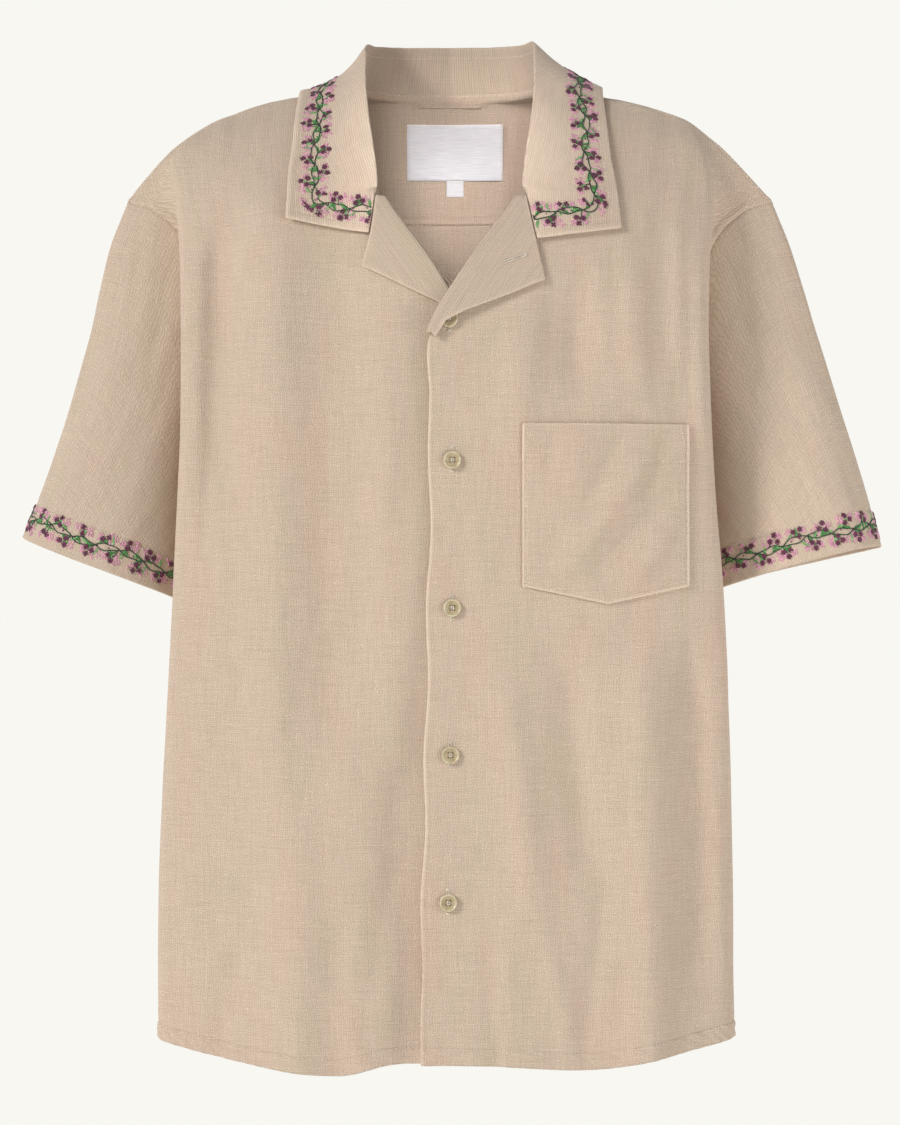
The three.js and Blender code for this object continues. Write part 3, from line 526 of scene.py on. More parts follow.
def wall(name, sheet):
    """A closed wall, half on each side of a sheet, with round edges."""
    points, quads, uv_quads = sheet["points"], sheet["quads"], sheet["uv_quads"]
    half = sheet["thick"][:, None] / 2
    normals = sheet_normals(sheet)
    n = len(points)
    a, b = quads, np.roll(quads, -1, 1)
    ua, ub = uv_quads, np.roll(uv_quads, -1, 1)
    codes = (a * n + b).ravel()
    border = ~np.isin(codes, (b * n + a).ravel())
    ea, eb = a.ravel()[border], b.ravel()[border]
    eua, eub = ua.ravel()[border], ub.ravel()[border]
    # The round edge stands out by a share of the thickness, away from the sheet.
    away = np.zeros_like(points)
    edge_way = np.cross(points[eb] - points[ea], normals[ea])
    np.add.at(away, ea, unit(edge_way))
    np.add.at(away, eb, unit(edge_way))
    rim = np.unique(np.concatenate([ea, eb]))
    rim_at = np.full(n, -1)
    rim_at[rim] = 2 * n + np.arange(len(rim))
    rim_points = points[rim] + unit(away[rim]) * half[rim] * 0.8
    every = np.concatenate([points + normals * half, points - normals * half, rim_points])
    faces = np.concatenate([
        quads,
        quads[:, ::-1] + n,
        np.stack([eb, ea, rim_at[ea], rim_at[eb]], -1),
        np.stack([rim_at[eb], rim_at[ea], ea + n, eb + n], -1),
    ])
    uv = sheet["uv"]
    side_uv = uv[np.stack([eub, eua, eua, eub], -1)]
    loops = np.concatenate([uv[uv_quads], uv[uv_quads[:, ::-1]], side_uv, side_uv]).reshape(-1, 2)
    thing = make_mesh(name, every, faces, loops)
    worn = np.concatenate([sheet["worn"], sheet["worn"], sheet["worn"][rim]]).astype(np.float32)
    thing.data.attributes.new("worn", "FLOAT", "POINT").data.foreach_set("value", worn)
    return thing


def run_lengths(points, axis, parts):
    """Lengths along a grid's rows (axis 1) or columns (axis 0), counting only the parts named."""
    steps = np.diff(points, axis=axis)[..., parts]
    lengths = np.linalg.norm(steps, axis=-1)
    start = np.zeros_like(np.take(lengths, [0], axis=axis))
    return np.concatenate([start, np.cumsum(lengths, axis=axis)], axis=axis)


def panel_uv(points, side):
    """Thread lines of a hanging panel: across from the middle of the body, and up from the hem."""
    across = np.abs(points[:, :1, 0]) + run_lengths(points, 1, [0, 1])
    if points[0, 0, 0] * side < 0:
        across = points[:, :1, 0] * side + run_lengths(points, 1, [0, 1])
    up = points[:1, :, 2] + run_lengths(points, 0, [1, 2])
    return np.stack([side * across, up], -1)


def spaced(*stops):
    """Numbers from stop to stop, each stop a (value, count of steps to the next)."""
    out = []
    for (value, count), (after, _) in zip(stops[:-1], stops[1:]):
        out.extend(np.linspace(value, after, count, endpoint=False))
    return np.array(out + [stops[-1][0]])


# ---------- Materials ----------
def linear(srgb):
    c = np.array(srgb, float) / 255
    return tuple(np.where(c <= 0.04045, c / 12.92, ((c + 0.055) / 1.055) ** 2.4)) + (1.0,)


class Nodes:
    """Short forms for making a material's nodes."""

    def __init__(self, name):
        self.material = bpy.data.materials.new(name)
        self.material.use_nodes = True
        self.tree = self.material.node_tree
        self.shader = self.tree.nodes["Principled BSDF"]

    def put(self, kind, *inputs, **settings):
        node = self.tree.nodes.new(kind)
        for key, value in settings.items():
            setattr(node, key, value)
        for i, value in enumerate(inputs):
            self.plug(node.inputs[i], value)
        return node

    def plug(self, socket, value):
        if isinstance(value, bpy.types.NodeSocket):
            self.tree.links.new(value, socket)
        else:
            socket.default_value = value

    def math(self, operation, *inputs):
        return self.put("ShaderNodeMath", *inputs, operation=operation).outputs[0]

    def times(self, a, b):
        return self.math("MULTIPLY", a, b)

    def plus(self, a, b):
        return self.math("ADD", a, b)

    def less(self, a, b):
        return self.math("SUBTRACT", a, b)

    def uv_map(self):
        return self.put("ShaderNodeUVMap", uv_map="UVMap").outputs[0]

    def into(self, name, value):
        self.plug(self.shader.inputs[name], value)

    def mapping(self, vector, scale):
        node = self.put("ShaderNodeMapping", vector)
        node.inputs["Scale"].default_value = scale
        return node.outputs[0]

    def noise(self, vector, scale, detail=2.0, rough=0.5):
        node = self.put("ShaderNodeTexNoise", vector)
        node.inputs["Scale"].default_value = scale
        node.inputs["Detail"].default_value = detail
        node.inputs["Roughness"].default_value = rough
        return node.outputs["Fac"]

    def ramp(self, value, *stops):
        node = self.put("ShaderNodeValToRGB", value)
        elements = node.color_ramp.elements
        while len(elements) < len(stops):
            elements.new(0.5)
        for element, (at, colour) in zip(elements, stops):
            element.position = at
            element.color = colour
        return node.outputs["Color"]

    def mixed(self, factor, a, b, blend="MIX"):
        node = self.put("ShaderNodeMix", data_type="RGBA", blend_type=blend)
        self.plug(node.inputs[0], factor)
        self.plug(node.inputs[6], a)
        self.plug(node.inputs[7], b)
        return node.outputs[2]

    def bump(self, height, strength, distance):
        node = self.put("ShaderNodeBump")
        node.inputs["Strength"].default_value = strength
        node.inputs["Distance"].default_value = distance
        self.plug(node.inputs["Height"], height)
        return node.outputs[0]

    def finish(self, **values):
        for name, value in values.items():
            self.shader.inputs[name.replace("_", " ")].default_value = value
        return self.material


def grey(value):
    return (value, value, value, 1)


THREAD = 1.75  # mm from one thread to the next, in the weave that shows


def cloth_material(name, shade, ribbed):
    """Plain uneven weave: warp and weft cross over and under each other, with thick and thin
    stretches, and faint pink and green patches as of a plant-dyed cloth."""
    n = Nodes(name)
    shade = np.array(shade, float)
    uv = n.uv_map()
    u, v, _ = n.put("ShaderNodeSeparateXYZ", uv).outputs
    swing = 0.002 if ribbed else 0.005  # how far a thread strays from its line, in metres
    sway = lambda scale: n.times(n.less(n.noise(uv, scale, 2), 0.5), swing)
    turns = math.pi / (THREAD * MM)
    su = n.math("SINE", n.times(n.plus(u, sway(150)), turns))
    sv = n.math("SINE", n.times(n.plus(v, sway(190)), turns * 1.06))
    weft_on_top = n.plus(n.times(n.times(su, sv), 0.5), 0.5 - ribbed)
    warp_round, weft_round = n.math("ABSOLUTE", su), n.math("ABSOLUTE", sv)
    height = n.plus(n.times(warp_round, n.less(1.0, weft_on_top)), n.times(weft_round, weft_on_top))
    warp_slub = n.noise(n.mapping(uv, (430, 34, 1)), 1.0, 3, 0.6)
    weft_slub = n.noise(n.mapping(uv, (38, 470, 1)), 1.0, 3, 0.6)
    mid = linear(shade * 0.985)
    warp = n.ramp(warp_slub, (0.32, linear(shade * 0.93)), (0.5, mid), (0.70, linear(shade * 1.03)))
    weft = n.ramp(weft_slub, (0.30, linear(shade * (0.93, 0.92, 0.905))), (0.47, mid),
                  (0.72, linear(shade * (1.04, 1.035, 1.03))))
    colour = n.mixed(weft_on_top, warp, weft)
    # Painted shade: the weave is darker where its threads dip, in the hollows between crossings.
    gap = n.less(1.0, height)
    colour = n.mixed(n.times(gap, 0.72), colour, linear(shade * (0.78, 0.735, 0.685)))
    cloud = n.noise(n.mapping(uv, (26, 9, 1)), 1.0, 3, 0.55)
    tint = n.ramp(cloud, (0.34, (0.98, 0.99, 0.965, 1)), (0.5, grey(1.0)), (0.66, (1.02, 0.983, 0.98, 1)))
    colour = n.mixed(1.0, colour, tint, "MULTIPLY")
    # Paler where the cloth is rubbed at its edges; along the left front's edge this is partly a painted highlight.
    worn = n.put("ShaderNodeAttribute", attribute_name="worn").outputs["Fac"]
    colour = n.mixed(worn, colour, linear(np.minimum(shade * 1.12, 252)))
    n.into("Base Color", colour)
    slubs = n.times(n.plus(warp_slub, weft_slub), 0.8)
    mottle = n.plus(n.times(n.noise(uv, 2200, 2), 0.3), n.noise(uv, 300, 3))
    n.into("Normal", n.bump(n.plus(n.plus(height, slubs), mottle), 0.5, 0.0006))
    return n.finish(Roughness=0.92, Specular_IOR_Level=0.15, Sheen_Weight=0.12, Sheen_Roughness=0.6)


def thread_material(name, shade, lustre=0.35):
    """Stranded thread, lighter on some strands and along some stretches."""
    n = Nodes(name)
    shade = np.array(shade, float)
    place = n.put("ShaderNodeTexCoord").outputs["Object"]
    strands = n.noise(place, 1100.0, 3, 0.6)
    patch = n.noise(place, 170, 2)
    colour = n.ramp(strands, (0.3, linear(shade * 0.7)), (0.52, linear(shade)),
                    (0.78, linear(np.minimum(shade * 1.25, 255))))
    stretches = n.ramp(patch, (0.35, grey(0.84)), (0.65, grey(1.1)))
    n.into("Base Color", n.mixed(1.0, colour, stretches, "MULTIPLY"))
    n.into("Normal", n.bump(strands, 0.5, 0.0003))
    return n.finish(Roughness=0.6, Specular_IOR_Level=lustre, Sheen_Weight=0.15)


def label_material():
    """Close satin weave: fine cross threads with a soft shine."""
    n = Nodes("label_satin")
    shade = np.array((243, 240, 245), float)
    uv = n.uv_map()
    v = n.put("ShaderNodeSeparateXYZ", uv).outputs[1]
    ribs = n.math("ABSOLUTE", n.math("SINE", n.times(v, math.pi / 0.0005)))
    streaks = n.noise(n.mapping(uv, (60, 1500, 1)), 1.0, 3, 0.6)
    colour = n.ramp(streaks, (0.3, linear(shade * 0.93)), (0.7, linear(np.minimum(shade * 1.03, 255))))
    n.into("Base Color", colour)
    n.into("Normal", n.bump(n.plus(ribs, streaks), 0.35, 0.0002))
    return n.finish(Roughness=0.5, Specular_IOR_Level=0.4, Sheen_Weight=0.1)


def button_material():
    """Horn-coloured resin: pale cloudy swirls, polished."""
    n = Nodes("button_resin")
    place = n.put("ShaderNodeTexCoord").outputs["Object"]
    swirl = n.noise(n.mapping(place, (260, 260, 420)), 1.0, 4, 0.55)
    colour = n.ramp(swirl, (0.32, linear((190, 174, 138))), (0.5, linear((208, 194, 162))),
                    (0.7, linear((222, 210, 182))))
    # Painted shade: the button is darker in its dish towards the middle, and full bright on its raised rim.
    out = n.put("ShaderNodeVectorMath", n.uv_map(), operation="LENGTH").outputs["Value"]
    ring = n.ramp(n.times(out, 1000 / BUTTON["radius"] * 0.9), (0.0, linear((205, 192, 178))),
                  (0.30, linear((212, 202, 190))), (0.66, linear((232, 226, 216))), (0.76, grey(1.0)))
    n.into("Base Color", n.mixed(1.0, colour, ring, "MULTIPLY"))
    n.into("Roughness", n.ramp(n.noise(place, 900, 3), (0.3, grey(0.28)), (0.7, grey(0.42))))
    n.into("Normal", n.bump(swirl, 0.1, 0.0003))
    return n.finish(Specular_IOR_Level=0.5, Coat_Weight=0.15, Subsurface_Weight=0.05, Subsurface_Scale=0.001)


CLOTH_SHADE = np.array((219, 199, 180))
cloth_plain = cloth_material("cloth_weave", CLOTH_SHADE, 0.0)
cloth_ribbed = cloth_material("cloth_weave_ribbed", CLOTH_SHADE * 0.985, 0.22)
FINISHES = {
    "cloth": cloth_plain,
    "label": label_material(),
    "button": button_material(),
    "sewing_thread": thread_material("thread_sewing", (236, 221, 201), 0.2),
    "thread_dark_green": thread_material("thread_dark_green", (38, 70, 50)),
    "thread_green": thread_material("thread_green", (82, 148, 80)),
    "thread_light_green": thread_material("thread_light_green", (134, 190, 118)),
    "thread_plum": thread_material("thread_plum", (112, 56, 82)),
    "thread_pink": thread_material("thread_pink", (238, 172, 196), 0.2),
}


def dress(thing, slot_name, *nodes, material=None):
    thing.data.materials.clear()
    thing.data.materials.append(material or FINISHES[slot_name])
    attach(thing, "root")
    if nodes:
        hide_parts(*nodes)


def side_name(side):
    return "left" if side > 0 else "right"


# ---------- Places on cloth ----------
class Surface:
    """A grid of a piece's middle surface, which gives places on it between its points."""

    def __init__(self, points, outward, thick):
        self.points = points
        across, up = np.gradient(points, axis=1), np.gradient(points, axis=0)
        normals = unit(np.cross(across, up))
        self.normals = normals * np.sign(np.sum(normals * outward))
        self.thick = np.broadcast_to(thick, points.shape[:2])

    def between(self, grid, i, j):
        i0 = np.clip(np.floor(i).astype(int), 0, grid.shape[0] - 2)
        j0 = np.clip(np.floor(j).astype(int), 0, grid.shape[1] - 2)
        fi, fj = i - i0, j - j0
        if grid.ndim == 3:
            fi, fj = fi[..., None], fj[..., None]
        return mix(mix(grid[i0, j0], grid[i0, j0 + 1], fj), mix(grid[i0 + 1, j0], grid[i0 + 1, j0 + 1], fj), fi)

    def at(self, i, j, lift=0.0):
        """The point of the outer face at row i and column j, raised by lift, and the normal."""
        i, j = np.broadcast_arrays(np.asarray(i, float), np.asarray(j, float))
        normal = unit(self.between(self.normals, i, j))
        raised = self.between(self.thick, i, j) / 2 + lift
        return self.between(self.points, i, j) + normal * raised[..., None], normal

    def inset(self, edge, distance):
        """Rows and columns of the line that runs at a distance inside one edge."""
        low, high, inner, outer = from_edges(self.points)
        rows, columns = self.points.shape[:2]
        if edge in ("low", "high"):
            away = low if edge == "low" else high
            rise = [np.interp(distance, *ordered(away[:, j], np.arange(rows))) for j in range(columns)]
            return np.array(rise), np.arange(columns, dtype=float)
        away = inner if edge == "inner" else outer
        run = [np.interp(distance, *ordered(away[i], np.arange(columns))) for i in range(rows)]
        return np.arange(rows, dtype=float), np.array(run)


class Skin:
    """The outer face of a surface, onto which places in space are dropped."""

    def __init__(self, surface):
        outer = surface.points + surface.normals * surface.thick[..., None] / 2
        quads = lattice(outer, outer[..., :2], 0)["quads"]
        self.tree = BVHTree.FromPolygons(outer.reshape(-1, 3).tolist(), quads.tolist())
        found = self.tree.find_nearest(outer[:2, :2].mean((0, 1)).tolist())
        self.way = 1 if np.dot(found[1], surface.normals[:2, :2].mean((0, 1))) > 0 else -1

    def drop(self, places, lift):
        """The nearest points of the face, raised by lift, and the normals there."""
        found = [self.tree.find_nearest(place)[:2] for place in places.tolist()]
        points = np.array([tuple(point) for point, _ in found])
        normals = np.array([tuple(normal) for _, normal in found]) * self.way
        return points + normals * np.broadcast_to(lift, len(points))[:, None], normals

    def ahead(self, x, z, lift):
        """The points of the face that show at places given in front view, and the normals there."""
        found = [self.tree.ray_cast((a, -400.0, b), (0.0, 1.0, 0.0))[:2] for a, b in zip(x, z)]
        points = np.array([tuple(point) for point, _ in found])
        normals = np.array([tuple(normal) for _, normal in found]) * self.way
        return points + normals * lift, normals


def ordered(at, values):
    return (at, values) if at[-1] > at[0] else (at[::-1], values[::-1])


def relieved(points, relief, outward):
    """Moves a grid's points along its own normals."""
    surface = Surface(points, outward, 0)
    return points + surface.normals * relief[..., None]


def from_edges(points):
    """How far each point of a grid is from its first row, last row, first and last column."""
    across, up = run_lengths(points, 1, [0, 1, 2]), run_lengths(points, 0, [0, 1, 2])
    return up, up[-1:] - up, across, across[:, -1:] - across


def crinkle(uv, across=17.0, along_it=150.0):
    """Soft unevenness of cloth that has been in use: long narrow ripples, wider ones and narrower ones."""
    u, v = uv[..., 0], uv[..., 1]
    drift = rough(u / 90 + 7, v / 90) * 12
    wide = rough((u + drift) / across, v / along_it)
    narrow = rough((u + drift * 0.5) / (across * 0.47) + 31, v / (along_it * 0.5) + 5)
    fine = rough(u / 5.5 + 3, v / 26 + 11)
    return 0.62 * wide + 0.3 * narrow + 0.1 * fine


SEAM_DIP = 0.6  # how far a panel sinks beside a seam
SEAM_REACH = 1.6
SEAM_STITCH = 6.0  # from a felled seam to its topstitching


def groove(distance, reach=SEAM_REACH):
    return -SEAM_DIP * bell(distance, reach)


def felled(distance):
    """A seam with its layers sewn down beside it."""
    layers = step(distance, 0.8, 2.4) * (1 - step(distance, SEAM_STITCH - 1, SEAM_STITCH + 1))
    return groove(distance) + 0.5 * layers + groove(distance - SEAM_STITCH, 1.1)


AHEAD = np.array([0.0, -1.0, 0.0])
BEHIND = np.array([0.0, 1.0, 0.0])
surfaces = {}

# ---------- Fronts, back and yoke ----------
FRONT_ACROSS = spaced((0, 5), (0.012, 12), (0.1, 74), (0.955, 9), (1.0, 0))
FRONT_LEVELS = spaced((0, 8), (0.011, 8), (0.02, 110), (0.66, 66), (0.99, 5), (1.0, 0))
EDGE_PULL = 1.2  # the left front's edge is drawn in beside each button, and stands out between them
BUTTON_PITCH = 109
HEM_LEVEL = -735
ROPING = {"high": 0.4, "pitch": 10, "slant": 1.2, "uneven": 3}  # the slanting ridges of a sewn hem
NIP = {"x": 34.6, "slant": 0.15, "deep": 1.3, "half": 1.8}  # where the wearer's left hem is nipped in
EDGE_BEAD = 0.4  # how far the left front's edge stands out


def in_hem(low):
    """1 in the turned hem, 0 above it."""
    return 1 - step(low, HEM_DEPTH - 0.6, HEM_DEPTH + 0.6)


def front(side):
    s, t = np.meshgrid(FRONT_ACROSS, FRONT_LEVELS)
    points = shell_point(FRONT, side, s, t)
    uv = panel_uv(points, side)
    low, high, inner, outer = from_edges(points)
    if side > 0:
        z = points[..., 2]
        pull = 1 + np.cos((z - BUTTON_LEVELS[1]) * 2 * math.pi / BUTTON_PITCH)
        below_break, above_hem = step(-z, 200, 240), step(z, HEM_LEVEL, HEM_LEVEL + 75)
        points[..., 0] -= EDGE_PULL * pull * (1 - step(inner, 0, 40)) * below_break * above_hem
    relief = groove(high) + felled(outer) + crinkle(uv) * step(inner, 2, 30)
    hem = in_hem(low)
    turn = (uv[..., 0] + low * ROPING["slant"]) * 2 * math.pi / ROPING["pitch"]
    turn = turn + rough(uv[..., 0] / 20, 0 * low) * ROPING["uneven"]
    relief += ROPING["high"] * hem * np.sin(turn) + groove(low - HEM_DEPTH, 1.0) * 1.3
    nip = bell(points[..., 0] - NIP["x"] - low * NIP["slant"], NIP["half"])
    relief -= NIP["deep"] * nip * (1 - step(low, 9, 17))
    edge = bell(inner, 1.3) * (1 - step(t, 0.72, BREAK)) * (side > 0)
    relief += EDGE_BEAD * edge
    points = relieved(points, relief, AHEAD)
    thick = np.maximum(mix(CLOTH, HEM, hem), mix(CLOTH, TURNED, step(edge, 0.1, 0.8)))
    name = "front_" + side_name(side)
    surfaces[name] = Surface(points, AHEAD, thick)
    # Paler along the left front's edge: partly rubbed cloth, partly a painted highlight, which fades towards the hem
    # where the edge lies in shade.
    worn = edge * mix(0.15, 0.5, step(points[..., 2], -700, -540))
    sheet = lattice(points, uv, thick, flip=side < 0, worn=worn)
    dress(wall("cloth_" + name, sheet), "cloth", name)


BACK_ACROSS = spaced((0, 60), (0.955, 8), (1.0, 0))
BACK_LEVELS = spaced((0, 12), (0.02, 96), (0.66, 36), (YOKE_SEAM, 0))
YOKE_EDGE = 1.7  # how much thicker the yoke is at its lower edge
YOKE_LEVELS = spaced((YOKE_SEAM, 7), (0.876, 28), (BACK_NECK, 22), (0.9945, 9), (1.0, 0))


def back_half(side, levels, name):
    s, t = np.meshgrid(BACK_ACROSS, levels)
    points = shell_point(BACK, side, s, t)
    uv = panel_uv(points, side)
    low, high, _, outer = from_edges(points)
    relief = felled(outer) + crinkle(uv + 400) * step(uv[..., 0] * side, 0, 30)
    thick = np.full(s.shape, CLOTH)
    if levels[0] == 0:
        relief += groove(low - HEM_DEPTH) + groove(high) * 0.2
        thick = mix(CLOTH, HEM, in_hem(low))
    else:
        relief += felled(low) + felled(high)
        thick = thick + YOKE_EDGE * bell(low, 2.4)
    points = relieved(points, relief, BEHIND)
    points[:, 0, 0] = np.where(levels <= BACK_NECK, 0.0, points[:, 0, 0])
    surfaces[name + "_" + side_name(side)] = Surface(points, BEHIND, thick)
    return lattice(points, uv, thick, flip=side > 0)


for side in (1, -1):
    front(side)
for name, levels in (("back", BACK_LEVELS), ("yoke", YOKE_LEVELS)):
    dress(wall("cloth_" + name, weld(*(back_half(side, levels, name) for side in (1, -1)))), "cloth", name)

# ---------- Sleeves ----------
SLEEVE_AROUND = 128
SLEEVE_ALONG = spaced((0, 5), (0.03, 56), (0.86, 12), (0.92, 12), (1.0, 0))


def armhole(side):
    """The armhole as a closed loop of even steps from the underarm up the front, over the shoulder
    and down the back, with the share of its length at which it crosses the shoulder."""
    up = shell_point(FRONT, side, 1, np.linspace(UNDERARM, 1, 300))
    over = shell_point(BACK, side, 1, np.linspace(1, YOKE_SEAM, 120)[1:])
    down = shell_point(BACK, side, 1, np.linspace(YOKE_SEAM, UNDERARM, 180)[1:-1])
    loop = np.concatenate([up, over, down, up[:1]])
    run = path_run(loop)
    shares = np.arange(SLEEVE_AROUND) / SLEEVE_AROUND
    return sampled(loop, run, shares * run[-1]), shares, run[310] / run[-1]


def sleeve_grid(side):
    size = SLEEVES[side]
    loop, shares, tip = armhole(side)
    v, share = np.meshgrid(SLEEVE_ALONG, shares, indexing="ij")
    turn = np.where(share < tip, share / tip * math.pi, math.pi * (1 + (share - tip) / (1 - tip)))
    w = (1 - np.cos(turn)) / 2
    swing = np.abs(np.sin(turn))
    depth = np.where(np.sin(turn) > 0, size["depth"][0], size["depth"][1])
    rise = np.where(depth < 0, mix(size["rise"][0], size["rise"][1], w), mix(size["back"][0], size["back"][1], w))
    hem = xyz(
        side * mix(size["in"][0], size["out"][0], w),
        -4 + (depth + 4) * swing,
        mix(size["in"][1], size["out"][1], w) + rise * swing,
    )
    points = mix(loop[None], hem, v[..., None])
    bow = along(SLEEVE_BOWS, side_name(side), v, "v")
    points[..., 0] += side * bow * bell(share - tip, 0.16)
    under = 1 - step(np.minimum(share, 1 - share), 0, 0.3)
    points[..., 0] += side * SLEEVE_UNDER * np.sin(math.pi * v**0.6) * under
    return points


def closed(grid):
    return np.concatenate([grid, grid[:, :1]], 1)


def sleeve(side):
    points = sleeve_grid(side)
    outward = points - points.mean(1, keepdims=True)
    ring = closed(points)
    around = run_lengths(ring, 1, [0, 1])
    down = -run_lengths(ring, 0, [0, 1, 2])
    uv = np.stack([around - around[:, -1:] / 2, down], -1)
    to_hem = (down - down[-1:])[:, :-1]
    relief = groove(-down[:, :-1]) + groove(to_hem - SLEEVE_HEM, 1.2) * 1.2
    seamed = np.minimum(np.arange(SLEEVE_AROUND), SLEEVE_AROUND - np.arange(SLEEVE_AROUND)) / 14
    relief += crinkle(uv[:, :-1] + 900, 13.0, 110.0) * 1.2 * clamp01(seamed) * step(-down[:, :-1], 2, 30)
    thick = mix(HEM, CLOTH, step(to_hem, SLEEVE_HEM - 0.8, SLEEVE_HEM + 0.8))
    points = relieved(points, relief, outward)
    name = "sleeve_" + side_name(side)
    surfaces[name] = Surface(closed(points), closed(outward), closed(thick))
    dress(wall("cloth_" + name, lattice(points, uv, thick, wrap=True, flip=side > 0)), "cloth", name)


for side in (1, -1):
    sleeve(side)


# ---------- Collar ----------
def lapel_edge(side, t):
    names = ("x", "z", "lift") if side > 0 else ("xr", "zr", "liftr")
    return [np.interp(t, LAPEL["t"], LAPEL[name]) for name in names]


def neck_point(side, u):
    """The neck seam from the middle of the back to the lapel, then up over the lapel's gorge."""
    turn = GORGE * NECK_TURN
    behind = shell_point(BACK, side, 0, mix(BACK_NECK, 1, clamp01(u / turn)))
    ahead = shell_point(FRONT, side, 0, mix(1, COLLAR_END, clamp01((u / GORGE - NECK_TURN) / (1 - NECK_TURN))))
    x, z, _ = lapel_edge(side, mix(LAPEL_TOP, NOTCH, clamp01((u - GORGE) / (1 - GORGE))))
    room = 1.3
    laid = above_shell(FRONT, side, side * (x + room), z, FALL_LIFT, (0.05, 0.86))
    return np.where((u <= turn)[:, None], behind, np.where((u <= GORGE)[:, None], ahead, laid))


def collar_points(side, u, across):
    """Points of the collar's middle surface, stations u by places across from neck to edge."""
    v = lambda name: along(COLLAR, name, u, "u")
    laid = step(u, 0.66, 0.74)[:, None]
    neck = neck_point(side, u)

    def place(letter):
        dx, dz = (0, side * v("tilt")) if letter == "m" else (side * v("dx"), -side * v("dz"))
        free = xyz(side * (v("x" + letter) + dx), v("y" + letter), v("z" + letter) + dz)
        down = above_shell(FRONT, side, free[:, 0], free[:, 2], FALL_LIFT, (0.3, 0.88))
        return np.where(laid > 0, mix(free, down, laid), free)

    middle, edge = place("m"), place("e")
    roll = xyz(side * v("xr"), v("yr"), v("zr") + side * v("tilt") * 0.2)
    seam = neck + unit(roll - neck) * NECK_LIFT
    turned = [seam, mix(seam, roll, 0.5), mix(roll, seam, 0.16), roll, mix(roll, middle, 0.16), middle, edge]
    between = [mix(neck, edge, w) for w in (0, 0.08, 0.16, 0.26, 0.4, 0.7, 1)]
    flat = [above_shell(FRONT, side, p[:, 0], p[:, 2], FALL_LIFT, (0.2, 0.87)) for p in between]
    at = np.broadcast_to(across, (len(u), len(across)))
    rolled = spline_point([c[:, None] for c in turned], at)
    laid_flat = spline_point([f[:, None] for f in flat], at)
    share = np.where((u > GORGE)[:, None], 1.0, step(u, GORGE - 0.1, GORGE)[:, None] * step(across, 0.45, 0.8)[None])
    return mix(rolled, laid_flat, share[..., None])


COLLAR_AROUND = spaced((0, 60), (0.8, 14), (GORGE - 0.004, 3), (GORGE + 0.006, 14), (0.95, 9), (1.0, 0))
COLLAR_ACROSS = spaced((0, 14), (0.4, 18), (0.7, 12), (0.88, 10), (1.0, 0))
COLLAR_STITCH = 6.5  # from the collar's edges to their topstitching
COLLAR_BEND = math.radians(78)


def collar():
    halves = [collar_points(side, COLLAR_AROUND, COLLAR_ACROSS) for side in (-1, 1)]
    points = np.concatenate([halves[0][1:][::-1], halves[1]])
    first, last, inner, to_edge = from_edges(points)
    ends = np.minimum(first, last)
    outward = np.cross(np.gradient(points, axis=1), np.gradient(points, axis=0))
    middle = points.shape[0] // 2
    outward = outward * np.sign(outward[middle, -2, 1])
    # The collar is cut on a curve, with its threads upright at the back and along it at the front.
    run = (first - first[middle])[:, 10]
    bend = COLLAR_BEND * step(np.abs(run), 45, 190)
    way = np.sign(run)
    steps = np.diff(run, prepend=run[0])
    middle_line = np.stack([np.cumsum(np.cos(bend) * steps), -np.cumsum(np.sin(bend) * steps * way)], -1)
    outwards = np.stack([np.sin(bend) * way, np.cos(bend)], -1)
    uv = (middle_line - middle_line[middle])[:, None] + outwards[:, None] * inner[..., None]
    thick = TURNED * mix(0.72, 1, step(np.minimum(to_edge, ends), 0, 3.5))
    fall = step(COLLAR_ACROSS, 0.5, 0.6)[None]
    nearest = np.minimum(to_edge, np.where(ends < 60, ends, 60))
    rim = 1 - step(nearest, COLLAR_STITCH - 1.8, COLLAR_STITCH - 0.4)
    relief = (groove(nearest - COLLAR_STITCH, 1.1) * 1.5 + 0.35 * rim) * fall
    relief += crinkle(uv + 1300) * 0.4 * step(inner, 4, 20)
    points = relieved(points, relief, outward)
    surfaces["collar"] = Surface(points, outward, thick)
    worn = bell(np.minimum(to_edge, ends), 1.2) * 0.45
    dress(wall("cloth_collar", lattice(points, uv, thick, worn=worn)), "cloth", "collar", material=cloth_ribbed)


collar()

# ---------- Neck tape, over the neck seam inside ----------
TAPE = {"up": 5.2, "down": 5.2, "out": 1.5, "thick": 0.6}


